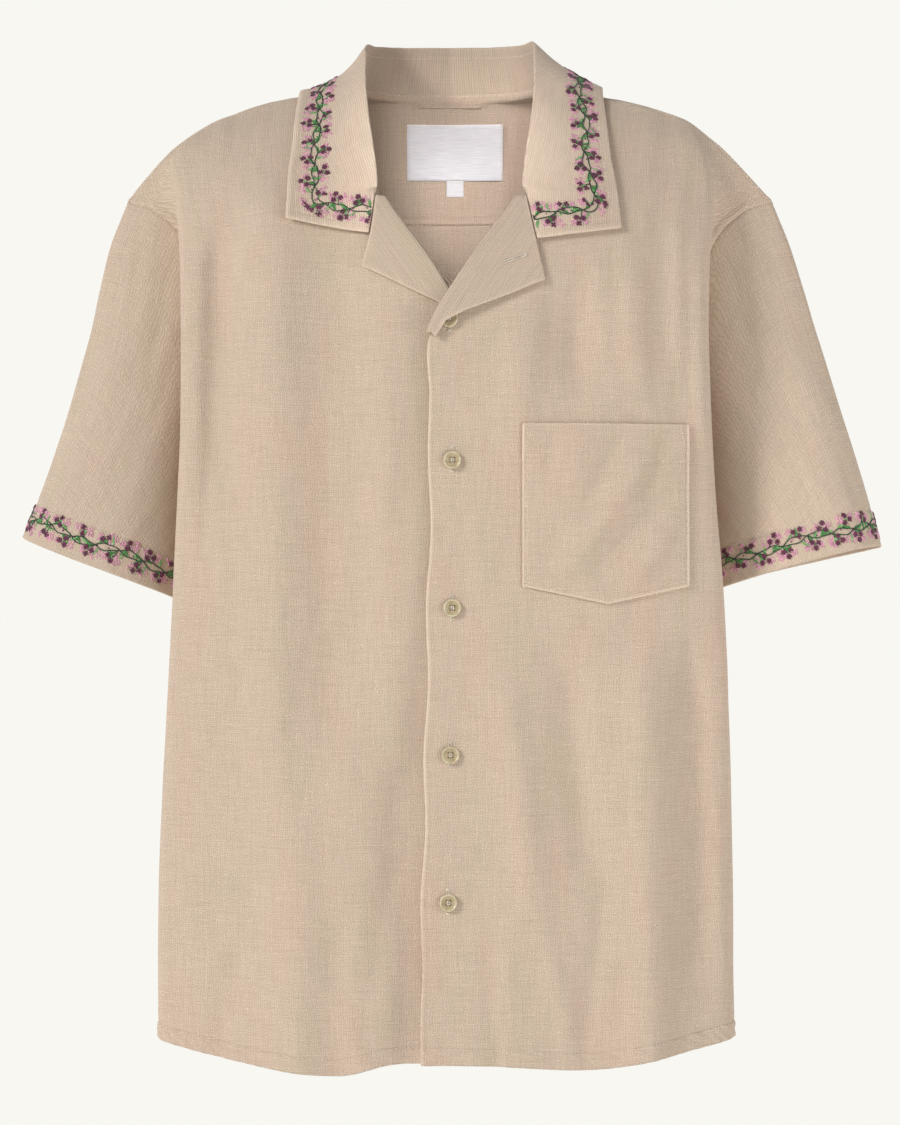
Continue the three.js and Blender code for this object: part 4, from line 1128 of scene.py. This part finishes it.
def neck_tape():
    u = np.linspace(0, 0.6, 70)
    t = mix(BACK_NECK, 1, clamp01(u / (GORGE * NECK_TURN)))
    halves = []
    for side in (-1, 1):
        neck = neck_point(side, u)
        along_it = np.gradient(neck, axis=0)
        along_it[0] = (side, 0, 0)
        roll = xyz(side * along(COLLAR, "xr", u, "u"), along(COLLAR, "yr", u, "u"), along(COLLAR, "zr", u, "u"))
        from_middle = neck - np.array([0.0, -20.0, 0.0])
        face = shell_normal(BACK, side, 0.03, t)
        down = unit(np.cross(face, along_it))
        down *= np.sign(np.sum(down * from_middle, axis=1, keepdims=True))
        up = unit(roll - neck)
        stand = unit(np.cross(up, along_it))
        stand *= np.sign(np.sum(stand * from_middle, axis=1, keepdims=True))
        top = [neck + up * TAPE["up"] * w - stand * TAPE["out"] for w in (1, 0.7, 0.4)]
        middle = [neck - unit(stand + face) * TAPE["out"]]
        bottom = [neck + down * TAPE["down"] * w - face * TAPE["out"] * 0.75 for w in (0.4, 0.7, 1)]
        halves.append(np.stack(top + middle + bottom, 1))
    points = np.concatenate([halves[0][1:][::-1], halves[1]])
    uv = panel_uv(points.transpose(1, 0, 2), 1).transpose(1, 0, 2)
    outward = points.mean((0, 1)) - points
    surfaces["neck_tape"] = Surface(points, outward, TAPE["thick"])
    dress(wall("cloth_neck_tape", lattice(points, uv, TAPE["thick"], flip=True)), "cloth")


neck_tape()

# ---------- Lapels ----------
LAPEL_TURN = [0, 25, 50, 75, 105, 130, 155, 180]
LAPEL_FLAT = np.linspace(0.08, 1, 18)
LAPEL_LEVELS = spaced((BREAK, 30), (0.83, 14), (NOTCH, 12), (LAPEL_TOP, 0))


def lapel(side):
    t = LAPEL_LEVELS
    a = (t - BREAK) / (LAPEL_TOP - BREAK)
    edge = shell_point(FRONT, side, 0, t)
    inwards = unit(shell_point(FRONT, side, 0.03, t) - edge)
    normal = shell_normal(FRONT, side, 0.01, t)
    radius = LAPEL_ROLL * mix(1.25 if side > 0 else 0.8, 1, step(a, 0, 0.4))[:, None]
    columns = []
    for angle in np.radians(LAPEL_TURN):
        columns.append(edge - inwards * (0.3 + radius * np.sin(angle)) + normal * radius * (1 - np.cos(angle)))
    x, z, lift = lapel_edge(side, t)
    for b in LAPEL_FLAT:
        columns.append(above_shell(
            FRONT, side, mix(edge[:, 0], side * x, b), mix(edge[:, 2], z, b), mix(2 * radius[:, 0], lift, b),
            (0.05, t),
        ))
    points = np.stack(columns, 1)
    uv = np.stack([side * run_lengths(points, 1, [0, 1, 2]), points[..., 2] * 1.1], -1)
    name = "lapel_" + side_name(side)
    surfaces[name] = Surface(points[:, len(LAPEL_TURN):], AHEAD, TURNED * 0.9)
    to_edge = from_edges(points)[3]
    sheet = lattice(points, uv, TURNED * 0.9, flip=side < 0, worn=bell(to_edge, 1.2) * 0.4)
    dress(wall("cloth_" + name, sheet), "cloth", name, material=cloth_ribbed)


for side in (1, -1):
    lapel(side)


# ---------- Pocket ----------
POCKET_FOLDS = table("x0 z0 x1 z1 half out", [
    [77, -257, 71, -300, 5, -1.5],
    [100, -257, 86, -312, 9, 1.6],
    [130, -257, 96, -328, 8, -1.9],
    [150, -276, 82, -372, 10, 2.8],
    [166, -258, 136, -322, 7, -1.8],
    [168, -300, 104, -376, 9, -2.8],
    [164, -332, 130, -388, 9, 2.2],
    [84, -328, 66, -370, 7, -1.6],
])


def pocket():
    w, h = np.meshgrid(
        spaced((0, 6), (0.045, 62), (0.955, 6), (1.0, 0)),
        spaced((0, 6), (0.045, 40), (0.76, 10), (0.83, 8), (0.955, 6), (1.0, 0)),
    )
    x = mix(POCKET["left"], POCKET["right"], w)
    half_wide = (POCKET["right"] - POCKET["left"]) / 2
    bottom = mix(POCKET["point"], POCKET["side"], np.abs(x - POCKET["pointX"]) / half_wide)
    z = mix(bottom, POCKET["top"], h)
    puff = POCKET["puff"] * np.sin(math.pi * w) * np.sin(math.pi * np.minimum(1, h * 0.85))
    held = np.minimum(step(w, 0, 0.12), step(1 - w, 0, 0.12)) * step(h, 0, 0.12)
    puff = puff + fold_depth(POCKET_FOLDS, x, z, 16) * held
    points = above_shell(FRONT, 1, x, z, LAID_ON + np.maximum(puff, -0.4), (0.45, 0.5))
    uv = panel_uv(points, 1)
    low, high, inner, outer = from_edges(points)
    sewn = np.minimum(np.minimum(inner, outer), low)
    relief = groove(high - POCKET_BAND, 1.2) + groove(sewn - POCKET_STITCH, 0.9) * 0.9 + 0.25 * bell(sewn, 1.0)
    points = relieved(points, relief, AHEAD)
    thick = mix(HEM, CLOTH, step(high, POCKET_BAND - 1, POCKET_BAND + 1))
    surfaces["pocket"] = Surface(points, AHEAD, thick)
    worn = np.maximum(bell(sewn, 1.0) * 0.6, bell(high, 1.0) * 0.35)
    dress(wall("cloth_pocket", lattice(points, uv, thick, worn=worn)), "cloth", "pocket")


pocket()


# ---------- Labels, inside the yoke ----------
def label(name, size, top):
    columns, rows = 40, 24
    x = size["x"] + size["wide"] * np.linspace(-0.5, 0.5, columns)
    z = top - size["high"] * np.linspace(0, 1, rows)
    x, z = np.meshgrid(x, z)
    depth = -(CLOTH / 2 + size["thick"] / 2 + LABEL_ROOM) * np.ones(x.shape)
    right = above_shell(BACK, -1, np.minimum(x, 0), z, depth, (0.1, 0.89))
    left = above_shell(BACK, 1, np.maximum(x, 0), z, depth, (0.1, 0.89))
    points = np.where((x < 0)[..., None], right, left)
    uv = np.stack([x, z], -1)
    surfaces[name] = Surface(points, AHEAD, size["thick"])
    dress(wall("woven_" + name, lattice(points, uv, size["thick"], flip=True)), "label", name)


label("neck_label", LABEL, LABEL["top"])
label("size_tab", SIZE_TAB, LABEL["top"] - LABEL["high"] - 0.3)

# ---------- Sewing ----------
# One stitch, along X from 0 to 1: rings of four points, thin at its ends.
STITCH_RINGS = [(0.0, 0.35, -0.35), (0.25, 1.0, 0.15), (0.75, 1.0, 0.15), (1.0, 0.35, -0.35)]


def capsules(starts, ends, ups, width):
    """Short rounded strands from starts to ends; returns points and faces."""
    along_it = ends - starts
    across = unit(np.cross(along_it, ups))
    up = unit(np.cross(across, along_it))
    width = np.broadcast_to(width, len(starts))[:, None]
    points = []
    for x, r, lift in STITCH_RINGS:
        for k in range(4):
            angle = math.pi / 4 + k * math.pi / 2
            offset = across * math.cos(angle) * r + up * (math.sin(angle) * r + lift)
            points.append(starts + along_it * x + offset * width / 2 * 1.2)
    points = np.stack(points, 1)
    faces = [[3, 2, 1, 0], [12, 13, 14, 15]]
    for ring in range(3):
        for k in range(4):
            a, b = ring * 4 + k, ring * 4 + (k + 1) % 4
            faces.append([a, b, b + 4, a + 4])
    faces = np.array(faces)[None] + (np.arange(len(starts)) * 16)[:, None, None]
    return points.reshape(-1, 3), faces.reshape(-1, 4)


def joined(parts):
    points = np.concatenate([p for p, _ in parts])
    starts = np.cumsum([0] + [len(p) for p, _ in parts])
    return points, np.concatenate([f + a for (_, f), a in zip(parts, starts)])


def thread_piece(name, parts, slot_name="sewing_thread"):
    dress(make_mesh(name, *joined(parts)), slot_name)


def stitched(points, normals, stitch=2.3, gap=0.7, width=0.5):
    """Stitches along a line that lies on a surface."""
    run = path_run(points)
    count = max(int(run[-1] / (stitch + gap)), 1)
    middle = (np.arange(count) + 0.5) * run[-1] / count
    starts, ends = (sampled(points, run, middle + half) for half in (-stitch / 2, stitch / 2))
    return capsules(starts, ends, unit(sampled(normals, run, middle)), width)


seams = {}


def sew(group, surface, i, j, **kind):
    points, normals = surfaces[surface].at(i, j, 0.05)
    seams.setdefault(group, []).append(stitched(points, normals, **kind))


for side in (1, -1):
    name = side_name(side)
    sew("hems", "front_" + name, *surfaces["front_" + name].inset("low", HEM_DEPTH))
    sew("hems", "back_" + name, *surfaces["back_" + name].inset("low", HEM_DEPTH))
    sew("hems", "sleeve_" + name, *surfaces["sleeve_" + name].inset("high", SLEEVE_HEM))
    for distance in (1.2, SEAM_STITCH):
        sew("yoke", "yoke_" + name, *surfaces["yoke_" + name].inset("high", distance))
        sew("yoke", "yoke_" + name, *surfaces["yoke_" + name].inset("low", distance))
    for panel in ("front_", "yoke_", "back_"):
        rows, columns = surfaces[panel + name].inset("outer", SEAM_STITCH)
        levels = {"front_": FRONT_LEVELS, "yoke_": YOKE_LEVELS, "back_": BACK_LEVELS}[panel]
        above = levels >= UNDERARM
        sew("armholes", panel + name, rows[above], columns[above])


STAND_STITCH = 8.0  # from the roll down to a line of stitches inside the stand


def collar_sewing():
    surface = surfaces["collar"]
    rows, columns = surface.inset("outer", COLLAR_STITCH)
    away = from_edges(surface.points)
    on_edge = np.array([min(away[0][int(i), int(j)], away[1][int(i), int(j)]) for i, j in zip(rows, columns)])
    keep = on_edge >= COLLAR_STITCH
    sew("collar", "collar", rows[keep], columns[keep])
    for edge in ("low", "high"):
        rows, columns = surface.inset(edge, COLLAR_STITCH)
        to_edge = away[3][np.clip(rows.astype(int), 0, away[3].shape[0] - 1), columns.astype(int)]
        keep = to_edge >= COLLAR_STITCH
        sew("collar", "collar", rows[keep], columns[keep])
    roll = np.argmax(surface.points[:, : len(COLLAR_ACROSS) // 2 + 10, 2], axis=1)
    from_neck = away[2][np.arange(len(roll)), roll] - STAND_STITCH
    every = np.arange(len(roll))
    columns = np.array([np.interp(d, away[2][i], np.arange(len(COLLAR_ACROSS))) for i, d in zip(every, from_neck)])
    behind = np.abs(every - len(every) // 2) < 50
    sew("collar", "collar", every[behind].astype(float), columns[behind])


collar_sewing()


def pocket_sewing():
    surface = surfaces["pocket"]
    rows, columns = surface.points.shape[:2]
    edge = POCKET_STITCH
    for side_edge, distance in (("inner", edge), ("outer", edge), ("low", edge), ("high", POCKET_BAND)):
        sew("pocket", "pocket", *surface.inset(side_edge, distance), stitch=1.9, gap=0.6, width=0.42)
    corner_wide, corner_high = 7.0, 24.0
    _, high, inner, outer = from_edges(surface.points)
    row_at = lambda distance: np.interp(distance, *ordered(high[:, 0], np.arange(rows)))
    for away in (inner[-1], outer[-1]):
        column_at = lambda distance: np.interp(distance, *ordered(away, np.arange(columns)))
        share = np.linspace(0, 1, 30)
        slant = column_at(mix(corner_wide, edge, share))
        sew("pocket", "pocket", row_at(mix(1.0, corner_high, share)), slant, stitch=1.6, gap=0.4, width=0.42)
        top = column_at(np.linspace(edge, corner_wide, 8))
        sew("pocket", "pocket", np.full(8, row_at(1.0)), top, stitch=1.6, gap=0.4, width=0.42)


pocket_sewing()
for edge in ("inner", "outer"):
    sew("collar", "neck_tape", *surfaces["neck_tape"].inset(edge, 1.0), stitch=1.9, gap=0.6, width=0.4)
for name in ("neck_label", "size_tab"):
    for edge in ("inner", "outer", "low", "high"):
        if name == "neck_label" or edge == "low":
            sew("labels", name, *surfaces[name].inset(edge, 1.3), stitch=1.6, gap=0.9, width=0.3)
for group, parts in seams.items():
    thread_piece("sewing_" + group, parts)


# ---------- Buttons and buttonholes ----------
def button_mesh():
    """A four-hole button with a raised round rim, its axis along Z and its back at 0."""
    r, rim, thick, dish = (BUTTON[k] for k in ("radius", "rim", "thick", "dish"))
    profile = [
        (0, 0), (r - 1.2, 0), (r - 0.35, 0.35), (r, 1.1), (r, thick - 0.9), (r - 0.18, thick - 0.3),
        (r - 0.5, thick - 0.05), (r - rim * 0.75, thick), (r - rim, thick - 0.08),
        (r - rim - 0.35, thick - dish * 0.55), (r - rim - 0.8, thick - dish),
        (2.6, thick - dish - 0.06), (0, thick - dish),
    ]
    turns = 56
    points, faces = [], []
    for radius, z in profile[1:-1]:
        for k in range(turns):
            angle = 2 * math.pi * k / turns
            points.append((radius * math.cos(angle), radius * math.sin(angle), z))
    points += [(0, 0, profile[0][1]), (0, 0, profile[-1][1])]
    rings = len(profile) - 2
    low, high = len(points) - 2, len(points) - 1
    for k in range(turns):
        k2 = (k + 1) % turns
        faces.append((low, k2, k))
        faces.append((high, (rings - 1) * turns + k, (rings - 1) * turns + k2))
        for ring in range(rings - 1):
            a = ring * turns
            faces.append((a + k, a + k2, a + turns + k2, a + turns + k))
    mesh = bpy.data.meshes.new("button_blank")
    mesh.from_pydata((np.array(points) * MM).tolist(), [], faces)
    blank = in_scene("button_blank", mesh)
    drills = []
    for x, y in [(1, 1), (1, -1), (-1, 1), (-1, -1)]:
        centre = (x * BUTTON["hole_out"] * MM, y * BUTTON["hole_out"] * MM, 0)
        bpy.ops.mesh.primitive_cylinder_add(
            vertices=20, radius=BUTTON["hole"] * MM, depth=thick * 3 * MM, location=centre,
        )
        drill = bpy.context.object
        cut = blank.modifiers.new("hole", "BOOLEAN")
        cut.operation = "DIFFERENCE"
        cut.object = drill
        drills.append(drill)
    bpy.context.view_layer.update()
    cut_blank = blank.evaluated_get(bpy.context.evaluated_depsgraph_get())
    made = bpy.data.meshes.new_from_object(cut_blank)
    for thing in drills + [blank]:
        bpy.data.objects.remove(thing)
    made.polygons.foreach_set("use_smooth", np.ones(len(made.polygons), bool))
    made.set_sharp_from_angle(angle=math.radians(40))
    face = made.uv_layers.get("UVMap") or made.uv_layers.new(name="UVMap")
    for loop in made.loops:
        face.data[loop.index].uv = made.vertices[loop.vertex_index].co[:2]
    return made


def buttons():
    shape = button_mesh()
    threads = []
    for number, (x, z) in enumerate(zip(BUTTON_LINE, BUTTON_LEVELS), 1):
        s, t = shell_at(FRONT, 1, x, z, (0.03, 0.5))
        normal = shell_normal(FRONT, 1, s, t)
        place = shell_point(FRONT, 1, s, t) + normal * (CLOTH / 2 + BUTTON_ROOM)
        across = unit(np.cross(np.array([0.0, 0.0, 1.0]), normal))
        up = np.cross(normal, across)
        thing = in_scene("resin_button_" + str(number), shape.copy())
        turn = np.eye(4)
        turn[:3] = np.stack([across, up, normal, place * MM], -1)
        thing.data.transform(Matrix(turn.tolist()))
        dress(thing, "button", "button_" + str(number))
        top = place + normal * (BUTTON["thick"] - BUTTON["dish"])
        out = BUTTON["hole_out"]
        for shift in (-0.28, 0.28):
            for x, y in ((1, 1), (1, -1)):
                aside = (across * y - up * x) * shift * 0.7
                ends = [top + (across * x + up * y) * out * k + aside + normal * 0.3 for k in (-1, 1)]
                threads.append(capsules(*(np.array([e]) for e in ends), normal[None], 0.75))
    thread_piece("sewing_buttons", threads)


buttons()


def buttonhole(skin, x, z, way, length):
    """Close stitches on both sides of a slit about (x, z), with a bar at each end."""
    way = way / np.linalg.norm(way)
    across = np.array([-way[1], way[0]])
    parts = []

    def rows(at, inner, outer, width):
        ends = [np.array([x, z]) + way * at[:, None] + across * off for off in (inner, outer)]
        placed = [skin.ahead(end[:, 0], end[:, 1], 0.3) for end in ends]
        parts.append(capsules(placed[0][0], placed[1][0], placed[0][1], width))

    at = np.linspace(-length / 2, length / 2, int(length / 0.42))
    rows(at, 0.2, 1.3, 0.5)
    rows(at, -0.2, -1.3, 0.5)
    for end in (-1, 1):
        rows(end * (length / 2 + np.array([0.1, 0.5, 0.9])), -1.4, 1.4, 0.6)
    return joined(parts)


LAPEL_HOLE = {"x": 47.6, "z": -135, "way": np.array([17.8, 6.7]), "length": 17.5}


def buttonholes():
    front_skin = Skin(surfaces["front_left"])
    parts = [
        buttonhole(front_skin, x, z + 0.5, np.array([0.0, 1.0]), 17.4)
        for x, z in zip(BUTTON_LINE, BUTTON_LEVELS)
    ]
    hole = LAPEL_HOLE
    parts.append(buttonhole(Skin(surfaces["lapel_left"]), hole["x"], hole["z"], hole["way"], hole["length"]))
    thread_piece("sewing_buttonholes", parts)


buttonholes()

# ---------- Embroidery ----------
PERIOD = 40.0  # of the vine: its two stems cross every half period
SLEEVE_BAND = 16.5  # from the hem to the vine's middle
COLLAR_BAND = 19.5  # from the collar's edge
COLLAR_BAND_END = 17.0  # from its two ends
COLLAR_BAND_ON = (5.0, 9.0)  # how much further the vine runs on towards each lapel
chance = np.random.default_rng(5)


class Band:
    """A strip of cloth along a path: places in it are (e, y), along the path and to its left."""

    def __init__(self, skin, path, towards):
        self.run = path_run(path)
        self.length = self.run[-1]
        self.skin, self.path = skin, path
        _, normals = skin.drop(path, 0)
        along_it = np.gradient(path, axis=0)
        if np.linalg.norm(path[0] - path[-1]) < 1e-6:
            along_it[0] = along_it[-1] = path[1] - path[-2]
        sideways = unit(np.cross(normals, along_it))
        self.sideways = sideways * np.sign(np.sum(sideways * towards))

    def place(self, e, y, lift):
        way = unit(sampled(self.sideways, self.run, e))
        return self.skin.drop(sampled(self.path, self.run, e) + way * y[:, None], lift)


def turned(angle):
    return np.array([math.cos(angle), math.sin(angle)])


class Vine:
    """Strands of a flowering vine along a band, by colour: rows of e0, y0, e1, y1, width, lift."""

    def __init__(self, length, runs_round):
        self.strands = {}
        count = int(round(length / PERIOD)) if runs_round else int(length / PERIOD)
        self.stretch = length / (count * PERIOD) if runs_round else 1.0
        total = count * PERIOD if runs_round else length
        self.phase = chance.random(2) * 6
        for which in (1, -1):
            e = np.arange(0, total + 0.1, 1.9)
            self.line("dark_green", np.stack([e, self.stem(e, which)], -1), 0.85, 0.35)
        quarters = int(total / (PERIOD / 4)) if runs_round else int((total - 3) / (PERIOD / 4))
        for k in range(quarters):
            self.spray(k * PERIOD / 4 + chance.uniform(-0.8, 0.8), 1 if k % 2 else -1)

    def stem(self, e, which):
        wander = 0.5 * np.sin(e * 2 * math.pi / PERIOD * 3 + self.phase[0 if which > 0 else 1])
        drift = 1.6 * np.sin(e * 2 * math.pi / (PERIOD * 1.7) + self.phase[0])
        return which * 2.6 * np.sin(e * 2 * math.pi / PERIOD) + wander + drift

    def strand(self, colour, a, b, width, lift):
        self.strands.setdefault(colour, []).append((*a, *b, width, lift))

    def line(self, colour, points, width, lift):
        for a, b in zip(points[:-1], points[1:]):
            over = (b - a) * 0.12
            self.strand(colour, a - over, b + over, width, lift)

    def spray(self, e, side):
        """One cluster of flowers on its twig, with the leaves and blossoms around it."""
        upper = self.stem(e, 1) if self.stem(e, 1) * side > self.stem(e, -1) * side else self.stem(e, -1)
        root = np.array([e, upper])
        heart = np.array([e + chance.uniform(2.2, 4.8), side * chance.uniform(5.6, 7.4)])
        bend = np.array([e + chance.uniform(0, 1.0), side * 5.2])
        w = np.linspace(0, 1, 5)[:, None]
        self.line("dark_green", root * (1 - w) ** 2 + bend * 2 * w * (1 - w) + heart * w**2, 0.7, 0.3)
        self.blossom(heart + np.array([-5.4, side * chance.uniform(-0.8, 1.0)]), chance.uniform(3.8, 4.8), 22)
        self.blossom(heart + np.array([4.4, side * chance.uniform(-0.4, 1.8)]), chance.uniform(2.4, 3.2), 12)
        count = 2 if chance.random() < 0.4 else 3
        start = chance.uniform(0, 6.28)
        for k in range(count):
            reach = chance.uniform(2.7, 3.3) if count == 3 else 2.4
            self.flower(heart + turned(start + k * 2 * math.pi / count) * reach)
        near = np.array([e + 1.2, self.stem(e + 1.2, side) + side * 0.5])
        self.leaf(near, side * chance.uniform(0.7, 1.2), 6.2, "green")
        far = np.array([e + 5.0, self.stem(e + 5.0, -side) - side * 0.6])
        self.leaf(far, -side * chance.uniform(0.7, 1.3), 6.4, "light_green")
        self.leaf(np.array([e + 6.5, self.stem(e + 6.5, side)]), side * chance.uniform(2.1, 2.7), 5.2, "green")
        if chance.random() < 0.65:
            self.leaf(heart - np.array([1.5, side * 2.8]), side * chance.uniform(1.2, 2.2), 4.4, "light_green")
        bud = np.array([e + 7.4, -side * chance.uniform(0.2, 1.2)])
        for angle in (0.3, 1.6, 2.9):
            self.strand("plum", bud - turned(angle) * 0.6, bud + turned(angle) * 0.6, 0.8, 0.5)

    def flower(self, heart):
        start = chance.uniform(0, 6.28)
        petals = 5 if chance.random() < 0.6 else 4
        for petal in range(petals):
            for spread in (-0.25, 0.25):
                way = turned(start + petal * 2 * math.pi / petals + spread)
                self.strand("plum", heart + way * 0.3, heart + way * chance.uniform(2.0, 2.6), 0.9, 0.55)
        self.strand("plum", heart - turned(start) * 0.4, heart + turned(start) * 0.4, 0.9, 0.8)

    def leaf(self, root, way, length, colour):
        bend = chance.uniform(-0.7, 0.7)
        for share in np.linspace(0.1, 1, 7):
            forward, aside = turned(way + bend * share), turned(way + bend * share + math.pi / 2)
            middle = root + forward * length * share
            half = 1.25 * math.sin(math.pi * min(share * 0.95, 1)) + 0.12
            slant = forward * 0.7
            self.strand(colour, middle - aside * half - slant, middle + aside * half + slant * 0.4, 0.8, 0.25)

    def blossom(self, heart, radius, count):
        slant = chance.uniform(0.6, 1.6)
        for k in range(count):
            out = radius * math.sqrt((k + 0.5) / count)
            middle = heart + turned((k + chance.uniform(-0.4, 0.4)) * 2.4) * out
            half = turned(slant + chance.uniform(-0.35, 0.35)) * chance.uniform(0.7, 1.3)
            self.strand("pink", middle - half, middle + half, 1.0, 0.1)


def stitch_vine(band, runs_round):
    vine = Vine(band.length, runs_round)
    for colour, rows in vine.strands.items():
        e0, y0, e1, y1, width, lift = np.array(rows).T
        e0, e1 = e0 * vine.stretch, e1 * vine.stretch
        if runs_round:
            e0, e1 = e0 % band.length, e1 % band.length
        else:
            inside = (np.minimum(e0, e1) > 0) & (np.maximum(e0, e1) < band.length)
            e0, y0, e1, y1, width, lift = (v[inside] for v in (e0, y0, e1, y1, width, lift))
        starts, ups = band.place(e0, y0, lift)
        ends, _ = band.place(e1, y1, lift)
        vines.setdefault(colour, []).append(capsules(starts, ends, ups, width))


def even(path, space):
    run = path_run(path)
    return sampled(path, run, np.linspace(0, run[-1], int(run[-1] / space) + 1))


def collar_path(surface):
    """Along the collar's outer edge, and round its points to the lapels."""
    first, last, inner, to_edge = from_edges(surface.points)
    rows, columns = surface.inset("outer", COLLAR_BAND)
    at = lambda grid: surface.between(grid, rows, columns)
    keep = (at(first) > COLLAR_BAND_END) & (at(last) > COLLAR_BAND_END)
    long_part = surface.at(rows[keep], columns[keep])[0]
    ends = []
    for edge in ("low", "high"):
        rows, columns = surface.inset(edge, COLLAR_BAND_END)
        away = surface.between(to_edge, rows, columns)
        keep = (away > COLLAR_BAND) & (surface.between(inner, rows, columns) > 1.0)
        ends.append(surface.at(rows[keep], columns[keep])[0])
    path = even(np.concatenate([ends[0], long_part, ends[1][::-1]]), 1.0)
    start = path[:1] + unit(path[:1] - path[4:5]) * COLLAR_BAND_ON[0]
    end = path[-1:] + unit(path[-1:] - path[-5:-4]) * COLLAR_BAND_ON[1]
    path = even(np.concatenate([start, path, end]), 1.0)
    for _ in range(12):
        path[1:-1] = (path[:-2] + path[1:-1] * 2 + path[2:]) / 4
    return path


vines = {}
for side in (1, -1):
    surface = surfaces["sleeve_" + side_name(side)]
    lines = [surface.at(*surface.inset("high", distance))[0] for distance in (SLEEVE_BAND, SLEEVE_BAND + 8)]
    stitch_vine(Band(Skin(surface), lines[0], lines[1] - lines[0]), True)
surface = surfaces["collar"]
path = collar_path(surface)
inwards = surface.points[:, :1].mean((0, 1)) - path
stitch_vine(Band(Skin(surface), path, inwards), False)
for colour, parts in vines.items():
    thread_piece("embroidery_" + colour, parts, "thread_" + colour)

# ---------- Stage and light ----------
BACKDROP = (248, 247, 242)
FLOOR = -860.0
WALL = {"at": 6000.0, "bend": 1600.0, "top": 12000.0, "reach": 14000.0}


def backdrop(name, points):
    thing = make_mesh(name, points.reshape(-1, 3), lattice(points, points[..., :2], 0)["quads"])
    thing.data.materials.append(Nodes("pale_" + name).finish(
        Base_Color=grey(0.0), Roughness=1.0, Specular_IOR_Level=0.0,
        Emission_Color=linear(BACKDROP), Emission_Strength=1.0,
    ))
    thing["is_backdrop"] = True
    return thing


def sweep():
    """A pale floor that curves up into a wall behind."""
    wall_at, bend, reach = WALL["at"], WALL["bend"], WALL["reach"]
    profile = [(-reach, FLOOR)]
    for angle in np.linspace(0, math.pi / 2, 14):
        profile.append((wall_at - bend + bend * math.sin(angle), FLOOR + bend * (1 - math.cos(angle))))
    profile.append((wall_at, WALL["top"]))
    backdrop("sweep", np.array([[[x, y, z] for x in (-reach, reach)] for y, z in profile]))


def surround():
    """A pale round wall far outside, which only the camera sees."""
    radius, top = 13000, 14000.0
    around = np.linspace(0, 2 * math.pi, 49)
    ring = lambda z: [[radius * math.cos(a), radius * math.sin(a), z] for a in around]
    thing = backdrop("surround", np.array([ring(FLOOR), ring(top)]))
    thing.visible_diffuse = thing.visible_glossy = thing.visible_transmission = thing.visible_shadow = False


def lamp(name, kind, place, aim, power, **settings):
    """A lamp at one place, which shines towards another."""
    data = bpy.data.lights.new(name, kind)
    for key, value in settings.items():
        setattr(data, key, value)
    data.energy = power
    thing = in_scene(name, data)
    thing.location = place
    thing.rotation_euler = (Vector(aim) - Vector(place)).to_track_quat("-Z", "Y").to_euler()
    return thing


sweep()
surround()
lamp("key", "SUN", (-0.76, -0.62, 0.44), (0, 0, 0), 1.96, angle=math.radians(18))
lamp("right", "AREA", (0.95, -0.75, -0.35), (0.14, -0.08, -0.35), 3.4, shape="DISK", size=0.5)

# Light into the neck, from a row of narrow lamps, on what shows there.
NECK_PIECES = (
    "cloth_yoke", "cloth_back", "cloth_collar", "cloth_neck_tape", "woven_neck_label", "woven_size_tab",
    "sewing_collar", "sewing_labels",
)
NECK_AIM = (0.01, 0.1, -0.065)
in_neck = bpy.data.collections.new("in_neck")
for name in NECK_PIECES:
    in_neck.objects.link(bpy.data.objects[name])
for x, z in ((-0.5, 0.2), (-0.32, 0.3), (-0.14, 0.2), (0.04, 0.3), (0.22, 0.2)):
    thing = lamp(
        "neck", "SPOT", (x, -2.6, z), NECK_AIM, 55,
        spot_size=math.radians(4.1), spot_blend=0.8, shadow_soft_size=0.06,
    )
    thing.light_linking.receiver_collection = in_neck
world = bpy.data.worlds.new("world")
world.use_nodes = True
sky = world.node_tree.nodes["Background"].inputs
sky["Color"].default_value = (1, 1, 1, 1)
sky["Strength"].default_value = 0.25
bpy.context.scene.world = world

box = {"cad": [list(corner) for corner in cad_box], "visual": [list(corner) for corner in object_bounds()]}
